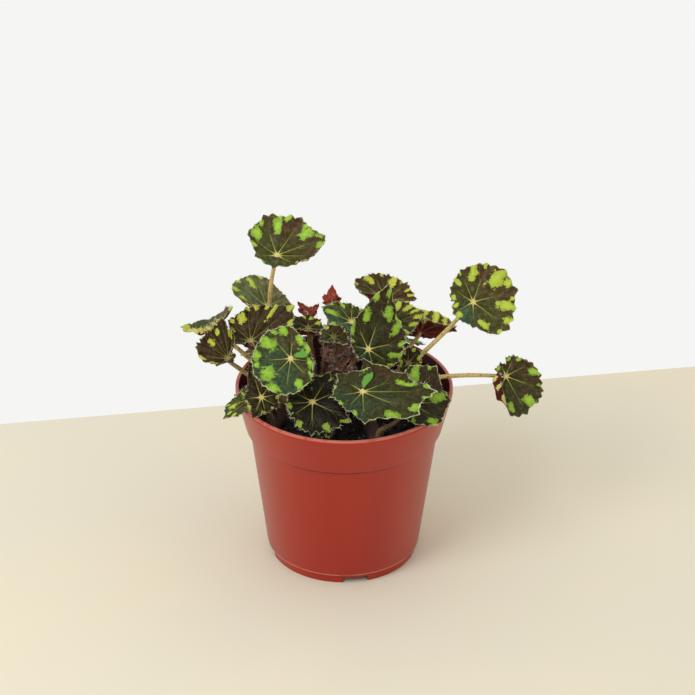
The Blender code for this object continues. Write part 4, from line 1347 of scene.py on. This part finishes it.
def make_tube(name, points, radii, sides, material):
    """A round closed tube along the points. Its field "skin" is the place on it, laid out straight."""
    bm = bmesh.new()
    bmesh.ops.create_cone(bm, cap_ends=True, segments=sides, radius1=1, radius2=1, depth=1)
    long_edges = [edge for edge in bm.edges if abs(edge.verts[0].co.z - edge.verts[1].co.z) > 0.5]
    bmesh.ops.subdivide_edges(bm, edges=long_edges, cuts=len(points) - 2, use_grid_fill=True)
    obj = new_object(name, bm)
    straight = np.empty(3 * len(obj.data.vertices))
    obj.data.vertices.foreach_get("co", straight)
    straight = straight.reshape(-1, 3)
    tangents = np.gradient(points, axis=0)
    tangents /= np.linalg.norm(tangents, axis=1)[:, None]
    first = np.cross(tangents[0], TUBE_START)
    firsts = []
    for tangent in tangents:
        first = first - tangent * (first @ tangent)
        first = first / np.linalg.norm(first)
        firsts.append(first)
    firsts = np.array(firsts)
    seconds = np.cross(tangents, firsts)
    ring = np.rint((straight[:, 2] + 0.5) * (len(points) - 1)).astype(int)
    radius = radii[ring][:, None]
    placed = points[ring] + radius * (straight[:, :1] * firsts[ring] + straight[:, 1:2] * seconds[ring])
    obj.data.vertices.foreach_set("co", (placed * MM).ravel())
    run = distances_along(points)
    skin = np.column_stack([straight[:, :2] * radius, run[ring]]) * MM
    layer = obj.data.attributes.new("skin", "FLOAT_VECTOR", "POINT")
    layer.data.foreach_set("vector", skin.ravel().astype(np.float32))
    obj.data.update()
    obj.data.materials.append(material)
    smooth(obj, 60)
    return obj


def make_stalk(name, leaf, ruddy, material):
    """The stalk of a blade, from the rhizome up to its hub."""
    points = stalk_path(leaf)
    along = np.linspace(0, 1, STALK_RINGS)
    radii = STALK_FOOT_RADIUS + (STALK_NECK_RADIUS - STALK_FOOT_RADIUS) * along
    radii += STALK_SWELLING * np.exp(-along / SWELLING_REACH)
    radii += STALK_WAVE * np.sin(STALK_WAVE_RATE * along) * along
    stalk = make_tube(name, points, radii, STALK_SIDES, material)
    # Every stalk reddens towards its foot.
    rise = points[:, 2] - points[0, 2]
    reddened = np.clip(ruddy + FOOT_REDNESS * np.exp(-rise / REDNESS_REACH), 0, 1)
    skin = np.empty(3 * len(stalk.data.vertices))
    stalk.data.attributes["skin"].data.foreach_get("vector", skin)
    write_field(stalk.data, "ruddy", np.interp(skin[2::3] / MM, distances_along(points), reddened))
    return stalk


def make_stalk_hairs(name, leaf, count, material):
    """Silky hairs that stand out from a young stalk."""
    points = stalk_path(leaf)
    rng = np.random.default_rng(STALK_RINGS + count)
    index = rng.integers(2, STALK_RINGS - 1, count)
    along = points[index] - points[index - 1]
    aims = np.cross(along, rng.normal(size=(count, 3)))
    aims /= np.linalg.norm(aims, axis=1)[:, None]
    roots = points[index] + DOWN_ROOT * aims
    return make_hairs(name, roots, aims, rng.uniform(*DOWN_LENGTHS, count), DOWN_WIDTH, material)


def spun(name, profile, steps):
    """A solid of revolution from a profile of (radius, height) that starts and ends on the axis."""
    bm = bmesh.new()
    verts = [bm.verts.new((radius * MM, 0, height * MM)) for radius, height in profile]
    edges = [bm.edges.new(pair) for pair in zip(verts, verts[1:])]
    bmesh.ops.spin(
        bm, geom=verts + edges, cent=(0, 0, 0), axis=(0, 0, 1), angle=math.tau, steps=steps, use_merge=True
    )
    bmesh.ops.remove_doubles(bm, verts=bm.verts, dist=0.000001)
    bmesh.ops.recalc_face_normals(bm, faces=bm.faces)
    return new_object(name, bm)


def inner_wall_radius(height):
    """Radius of the pot's inside at a height."""
    if height < COLLAR_HEIGHT:
        share = (height - FOOT_HEIGHT) / (COLLAR_HEIGHT - FOOT_HEIGHT)
        return BODY_BASE_RADIUS + share * (BODY_TOP_RADIUS - BODY_BASE_RADIUS) - POT_WALL
    share = (height - COLLAR_HEIGHT) / (POT_HEIGHT - COLLAR_HEIGHT)
    return COLLAR_RADIUS + share * (LIP_RADIUS - LIP_STEP - COLLAR_RADIUS) - POT_WALL


def pot_profile():
    """From the middle of the floor up the inside, over the lip, down the outside and back under."""
    return [
        (0, FLOOR_TOP),
        (inner_wall_radius(FLOOR_TOP), FLOOR_TOP),
        (inner_wall_radius(LEDGE_BOTTOM), LEDGE_BOTTOM),
        (inner_wall_radius(LEDGE_TOP), LEDGE_TOP),
        (LIP_RADIUS - LIP_STEP - POT_WALL, POT_HEIGHT),
        (LIP_RADIUS, POT_HEIGHT),
        (LIP_RADIUS, POT_HEIGHT - LIP_DEPTH),
        (LIP_RADIUS - LIP_STEP, POT_HEIGHT - LIP_DEPTH - LIP_SLOPE),
        (COLLAR_RADIUS, COLLAR_HEIGHT),
        (BODY_TOP_RADIUS, COLLAR_HEIGHT - COLLAR_SLOPE),
        (BODY_BASE_RADIUS, FOOT_HEIGHT),
        (FOOT_TOP_RADIUS, FOOT_HEIGHT - FOOT_SLOPE),
        (FOOT_RADIUS, 0),
        (FOOT_RADIUS - POT_WALL, 0),
        (FOOT_RADIUS - POT_WALL, FLOOR_UNDERSIDE),
        (PAD_RADIUS + PAD_SLOPE, FLOOR_UNDERSIDE),
        (PAD_RADIUS, 0),
        (0, 0),
    ]


def pot_cutter():
    """Blocks that notch the foot ring, and drums that drill the drain holes behind the notches."""
    bm = bmesh.new()
    for index in range(SLOT_COUNT):
        turn = Matrix.Rotation(math.radians(SLOT_FIRST + index * 360 / SLOT_COUNT), 4, "Z")
        block = Matrix.Diagonal((SLOT_DEPTH * MM, SLOT_WIDTH * MM, 2 * SLOT_HEIGHT * MM, 1))
        bmesh.ops.create_cube(bm, size=1, matrix=turn @ Matrix.Translation((FOOT_RADIUS * MM, 0, 0)) @ block)
        place = Matrix.Translation((DRAIN_REACH * MM, 0, 0.5 * (FLOOR_UNDERSIDE + FLOOR_TOP) * MM))
        bmesh.ops.create_cone(
            bm, cap_ends=True, segments=DRAIN_SIDES, radius1=DRAIN_RADIUS * MM, radius2=DRAIN_RADIUS * MM,
            depth=DRAIN_CUT * MM, matrix=turn @ place,
        )
    return new_object("pot cutter", bm)


def make_pot():
    """The pot, turned from its profile, notched and drilled, with its edges rounded."""
    pot = spun("pot_shell", pot_profile(), POT_STEPS)
    cutter = pot_cutter()
    cutting = pot.modifiers.new("notches", "BOOLEAN")
    cutting.operation = "DIFFERENCE"
    cutting.object = cutter
    rounding = pot.modifiers.new("rounded edges", "BEVEL")
    rounding.width = POT_EDGE * MM
    rounding.segments = 2
    rounding.limit_method = "ANGLE"
    rounding.angle_limit = math.radians(POT_EDGE_ANGLE)
    with_modifiers_applied(pot)
    bpy.data.objects.remove(cutter)
    pot.data.materials.clear()
    unshaded_plastic = pot_material("moulded terracotta polypropylene", "#9b2009", "#a5290f", "#d08a74")
    # A darker copy of the pot's material, painted shade for the inside of the wall.
    painted_shade_inside = pot_material("polypropylene with painted shade", "#4c1612", "#3a110e", "#6a4436")
    pot.data.materials.append(unshaded_plastic)
    pot.data.materials.append(painted_shade_inside)
    # The inside of the wall is painted darker than the outside, as painted shade.
    for face in pot.data.polygons:
        centre = face.center
        inwards = face.normal.x * centre.x + face.normal.y * centre.y < -0.5 * centre.xy.length
        if inwards and FLOOR_TOP * MM < centre.z < (POT_HEIGHT - LIP_DEPTH) * MM:
            face.material_index = 1
    smooth(pot)
    finished(pot, "terracotta_plastic", "pot")


def soil_height(x, y):
    """Height of the compost's surface, without its crumbs."""
    share = math.hypot(x, y) / inner_wall_radius(SOIL_EDGE_HEIGHT)
    beyond = max(0, share - SOIL_LEVEL_SHARE) / (1 - SOIL_LEVEL_SHARE)
    return SOIL_CENTRE_HEIGHT - SOIL_DIP * share / SOIL_LEVEL_SHARE - SOIL_EDGE_DIP * beyond


def lump_height(x, y, shifts):
    """Height of the compost's lumps at a place."""
    height = 0.0
    for index, (first, second, third) in enumerate(shifts):
        rate = math.tau / (LUMP_LENGTH + LUMP_LENGTHENING * index)
        along = math.sin(x * math.cos(third) * rate + first)
        across = math.sin(y * math.cos(first) * rate + second)
        height += along * across * (LUMP_HEIGHT + LUMP_RISE * index)
    return height


def make_compost():
    """The compost, which fills the pot from its floor and has a lumpy top."""
    top_radius = inner_wall_radius(SOIL_EDGE_HEIGHT) - SOIL_GAP
    radii = [top_radius * index / SOIL_RINGS for index in range(SOIL_RINGS + 1)]
    profile = [(radius, soil_height(radius, 0)) for radius in radii]
    for height in (LEDGE_TOP + 1, LEDGE_BOTTOM, FLOOR_TOP + SOIL_GAP):
        profile.append((inner_wall_radius(height) - SOIL_GAP, height))
    profile.append((0, FLOOR_TOP + SOIL_GAP))
    soil = spun("compost", profile, SOIL_STEPS)
    rng = np.random.default_rng(5)
    shifts = rng.uniform(0, math.tau, (LUMP_WAVES, 3))
    for vert in soil.data.vertices:
        x, y, z = vert.co / MM
        if z >= SOIL_EDGE_HEIGHT - 1:
            vert.co.z += lump_height(x, y, shifts) * MM
    soil.data.materials.append(compost_material("damp peat compost", "#0f0c0a", "#2b211a"))
    smooth(soil, 80)
    finished(soil, "potting_compost", "soil")


def make_grains(name, count, sizes, seed, material):
    """Loose grains lying on the compost, each a squashed twenty-sided lump."""
    rng = np.random.default_rng(seed)
    bm = bmesh.new()
    for index in range(count):
        angle = rng.uniform(0, math.tau)
        reach = (inner_wall_radius(SOIL_EDGE_HEIGHT) - 2) * math.sqrt(rng.uniform(0, 1))
        x, y = reach * math.cos(angle), reach * math.sin(angle)
        size = rng.uniform(*sizes)
        place = Matrix.Translation(Vector((x, y, soil_height(x, y) + GRAIN_RISE * size)) * MM)
        turn = Matrix.Rotation(rng.uniform(0, math.tau), 4, Vector(rng.normal(size=3)))
        wide, high = rng.uniform(*GRAIN_WIDTHS), rng.uniform(*GRAIN_HEIGHTS)
        shape = Matrix.Diagonal((size * MM, wide * size * MM, high * size * MM, 1))
        bmesh.ops.create_icosphere(bm, subdivisions=1, radius=1, matrix=place @ turn @ shape)
    obj = new_object(name, bm)
    obj.data.materials.append(material)
    finished(obj, "potting_compost")


def joined(name, parts):
    """One object that holds the meshes of several."""
    bm = bmesh.new()
    materials = list(parts[0].data.materials)
    for part in parts:
        bm.from_mesh(part.data)
        bpy.data.objects.remove(part)
    obj = new_object(name, bm)
    for material in materials:
        obj.data.materials.append(material)
    return obj


def make_rhizome():
    """The rhizome, ringed with the scars of fallen leaves."""
    material = rhizome_material()
    parts = []
    for number, run in enumerate(RHIZOME_RUNS):
        corners = np.array([(x, y, RHIZOME_HEIGHT) for x, y in run], float)
        corner_places = distances_along(corners)
        run_length = corner_places[-1]
        along = np.linspace(0, run_length, int(run_length / RHIZOME_RING_GAP))
        points = np.column_stack([np.interp(along, corner_places, corners[:, axis]) for axis in range(3)])
        scars = np.abs(np.sin(along * math.pi / SCAR_GAP)) ** 0.5
        radii = RHIZOME_RADIUS * (SCAR_SHARE + SCAR_DEPTH * scars)
        radii *= TIP_SHARE + (1 - TIP_SHARE) * np.clip((run_length - along) / TIP_LENGTH, 0, 1)
        if number == 0:
            radii *= TIP_SHARE + (1 - TIP_SHARE) * np.clip(along / TIP_LENGTH, 0, 1)
        parts.append(make_tube(f"run {number}", points, radii, RHIZOME_SIDES, material))
    rhizome = joined("rhizome_skin", parts)
    smooth(rhizome, 60)
    finished(rhizome, "rhizome_skin", "rhizome")


def stand_up_scale(verts, foot, angle, size):
    """Move a flat grid into one scale: pointed, curled across, and leaning away from the stalk."""
    away = np.array((math.cos(angle), math.sin(angle), 0))
    across = np.array((-math.sin(angle), math.cos(angle), 0))
    for vert in verts:
        up = 0.5 * (vert.co.y + 1)
        wide = vert.co.x * SCALE_WIDTH * size * (1 - up**1.6) * (0.75 + 0.5 * up)
        out = STALK_FOOT_RADIUS + SCALE_LEAN * size * up**1.5 - SCALE_CURL * vert.co.x**2
        rise = np.array((0, 0, size * up - SCALE_SUNK))
        vert.co = Vector(foot + away * out + across * wide + rise) * MM


def make_scales(material):
    """The papery scales that stand round the foot of each stalk."""
    rng = np.random.default_rng(31)
    bm = bmesh.new()
    for leaf in [*LEAVES.values(), *BUDS.values()]:
        foot = stalk_foot(leaf)
        for number in range(SCALES_PER_STALK):
            angle, size = rng.uniform(0, math.tau), rng.uniform(*SCALE_LENGTHS)
            grid = bmesh.ops.create_grid(bm, x_segments=4, y_segments=6, size=1)
            stand_up_scale(grid["verts"], foot, angle, size)
    bmesh.ops.remove_doubles(bm, verts=bm.verts, dist=0.00001)
    scales = new_object("papery_scales", bm)
    solidify = scales.modifiers.new("thickness", "SOLIDIFY")
    solidify.thickness = SCALE_THICKNESS * MM
    with_modifiers_applied(scales)
    scales.data.materials.clear()
    scales.data.materials.append(material)
    smooth(scales)
    finished(scales, "rhizome_skin")


def make_leaves():
    """Every open leaf: its blade, its stalk and its hairs."""
    blade_materials = (leaf_upper_material(), leaf_under_material(), leaf_rim_material())
    stalks = stalk_material()
    hairs = hair_material("pale begonia hair", "#dcd8bd", "#a39a72")
    for number, leaf in LEAVES.items():
        seed, look = int(number), LOOKS[number]
        blade = make_blade(f"blade_{number}", leaf, look, seed, blade_materials)
        finished(blade, "leaf_blade", f"leaf_{number}")
        stalk = make_stalk(f"petiole_{number}", leaf, look.ruddy, stalks)
        finished(stalk, "leaf_stalk", f"stalk_{number}")
        if look.ruddy > DOWNY:
            down = make_stalk_hairs(f"petiole_down_{number}", leaf, int(DOWN_COUNT * look.ruddy), hairs)
            finished(down, "leaf_stalk")
        mean_length = sum(length for direction, length in leaf.veins) / VEINS
        count = int(LASHES_PER_LENGTH * mean_length) + LEAST_LASHES
        lashes = make_lashes(f"lashes_{number}", leaf, look, seed, count, hairs)
        finished(lashes, "leaf_stalk")


def make_buds():
    """The bright young leaves that stand up behind the others."""
    bright = young_leaf_material("young begonia leaf", "#a8452f", "#642019", "#e6bfa6", "#5c1a18")
    stalks = stalk_material()
    hairs = hair_material("silky begonia hair", "#d0beae", "#9a7f70")
    for number, leaf in BUDS.items():
        if number == HEART:
            continue
        seed = YOUNG_SEED + int(number)
        blade = make_blade(f"young_blade_{number}", leaf, YOUNG, seed, (bright,) * 3)
        finished(blade, "young_leaf", f"bud_{number}")
        stalk = make_stalk(f"young_stalk_{number}", leaf, YOUNG.ruddy, stalks)
        finished(stalk, "leaf_stalk")
        down = make_stalk_hairs(f"young_down_{number}", leaf, YOUNG_DOWN_COUNT, hairs)
        finished(down, "leaf_stalk")
        lashes = make_lashes(f"young_lashes_{number}", leaf, YOUNG, seed, YOUNG_LASHES, hairs)
        finished(lashes, "young_leaf")


def make_heart():
    """The folded young leaves that crowd round one bud, in the middle of the plant."""
    # Its pale streaks are partly painted highlight.
    deep = young_leaf_material("folded begonia leaf", "#8e5e48", "#2c150e", "#e2d2be", "#b8a490")
    stalks = stalk_material()
    hairs = hair_material("grey begonia down", "#a8978a", "#6f5a50")
    bud = BUDS[HEART]
    blades, petioles, downs = [], [], []
    for index, (offset, faces, size) in enumerate(HEART_LEAVES):
        hub = tuple(np.array(bud.hub) + offset)
        veins = [(direction, size * length) for direction, length in bud.veins]
        leaf = bud._replace(hub=hub, faces=faces, veins=veins)
        seed = FOLDED_SEED + index
        blades.append(make_blade(f"fold {index}", leaf, FOLDED, seed, (deep,) * 3))
        petioles.append(make_stalk(f"fold stalk {index}", leaf, FOLDED.ruddy, stalks))
        downs.append(make_stalk_hairs(f"fold down {index}", leaf, FOLDED_DOWN_COUNT, hairs))
        downs.append(make_lashes(f"fold lashes {index}", leaf, FOLDED, seed, FOLDED_LASHES, hairs))
    for name, parts, slot, replaced in (
        ("young_blade", blades, "young_leaf", (f"bud_{HEART}",)),
        ("young_stalk", petioles, "leaf_stalk", ()),
        ("young_down", downs, "young_leaf", ()),
    ):
        whole = joined(f"{name}_{HEART}", parts)
        smooth(whole)
        finished(whole, slot, *replaced)


def make_table():
    """A flat board, whose far edge is the line in the photograph."""
    (left, left_edge), (right, right_edge) = FLOOR_EDGE
    bm = bmesh.new()
    for vert in bmesh.ops.create_grid(bm, x_segments=1, y_segments=1, size=1)["verts"]:
        across = 0.5 * (vert.co.x + 1)
        edge = left_edge + across * (right_edge - left_edge)
        vert.co.x = (left + across * (right - left)) * MM
        vert.co.y = (edge if vert.co.y > 0 else FLOOR_NEAR) * MM
    table = new_object("table", bm)
    table.data.materials.append(table_material())


def make_lamp(name, place, aim, size, power, code):
    """A round soft lamp. Its place, its aim and its width are in metres, and its power is in watts."""
    data = bpy.data.lights.new(name, "AREA")
    data.shape = "DISK"
    data.size = size
    data.energy = power
    data.color = hex_colour(code)[:3]
    lamp = bpy.data.objects.new(name, data)
    bpy.context.scene.collection.objects.link(lamp)
    lamp.location = place
    lamp.rotation_euler = (Vector(aim) - Vector(place)).to_track_quat("-Z", "Y").to_euler()


def light_the_scene():
    world = bpy.data.worlds.new("white room")
    bpy.context.scene.world = world
    world.use_nodes = True
    background = world.node_tree.nodes["Background"]
    background.inputs["Color"].default_value = hex_colour("#f5f5f4")
    background.inputs["Strength"].default_value = 1.0
    make_lamp("window", place=(-0.9, -0.9, 1.3), aim=(0, 0, 0.1), size=0.9, power=14, code="#f3f8ff")


def place_camera():
    data = bpy.data.cameras.new("camera")
    data.lens = CAMERA_LENS
    data.sensor_width = CAMERA_SENSOR
    camera = bpy.data.objects.new("camera", data)
    bpy.context.scene.collection.objects.link(camera)
    pitch, roll = math.radians(CAMERA_PITCH), math.radians(CAMERA_ROLL)
    forward = Vector((0, math.cos(pitch), -math.sin(pitch)))
    right, up = Vector((1, 0, 0)), Vector((0, math.sin(pitch), math.cos(pitch)))
    across = math.cos(roll) * right + math.sin(roll) * up
    above = -math.sin(roll) * right + math.cos(roll) * up
    turn = Matrix((across, above, -forward)).transposed()
    place = (Vector(CAMERA_TARGET) - CAMERA_DISTANCE * forward) * MM
    camera.matrix_world = Matrix.Translation(place) @ turn.to_4x4()
    bpy.context.scene.camera = camera


def main():
    bpy.context.scene.view_settings.view_transform = "Standard"
    make_pot()
    make_compost()
    crumb = compost_material("peat crumb", "#16110d", "#33271e")
    grit = compost_material("pale grit", "#6f6a60", "#8d887c")
    make_grains("compost_crumbs", CRUMBS, CRUMB_SIZES, 11, crumb)
    make_grains("pale_grains", PALE_GRAINS, PALE_GRAIN_SIZES, 12, grit)
    make_rhizome()
    make_scales(scale_material())
    make_leaves()
    make_buds()
    make_heart()
    make_table()
    light_the_scene()
    place_camera()


main()
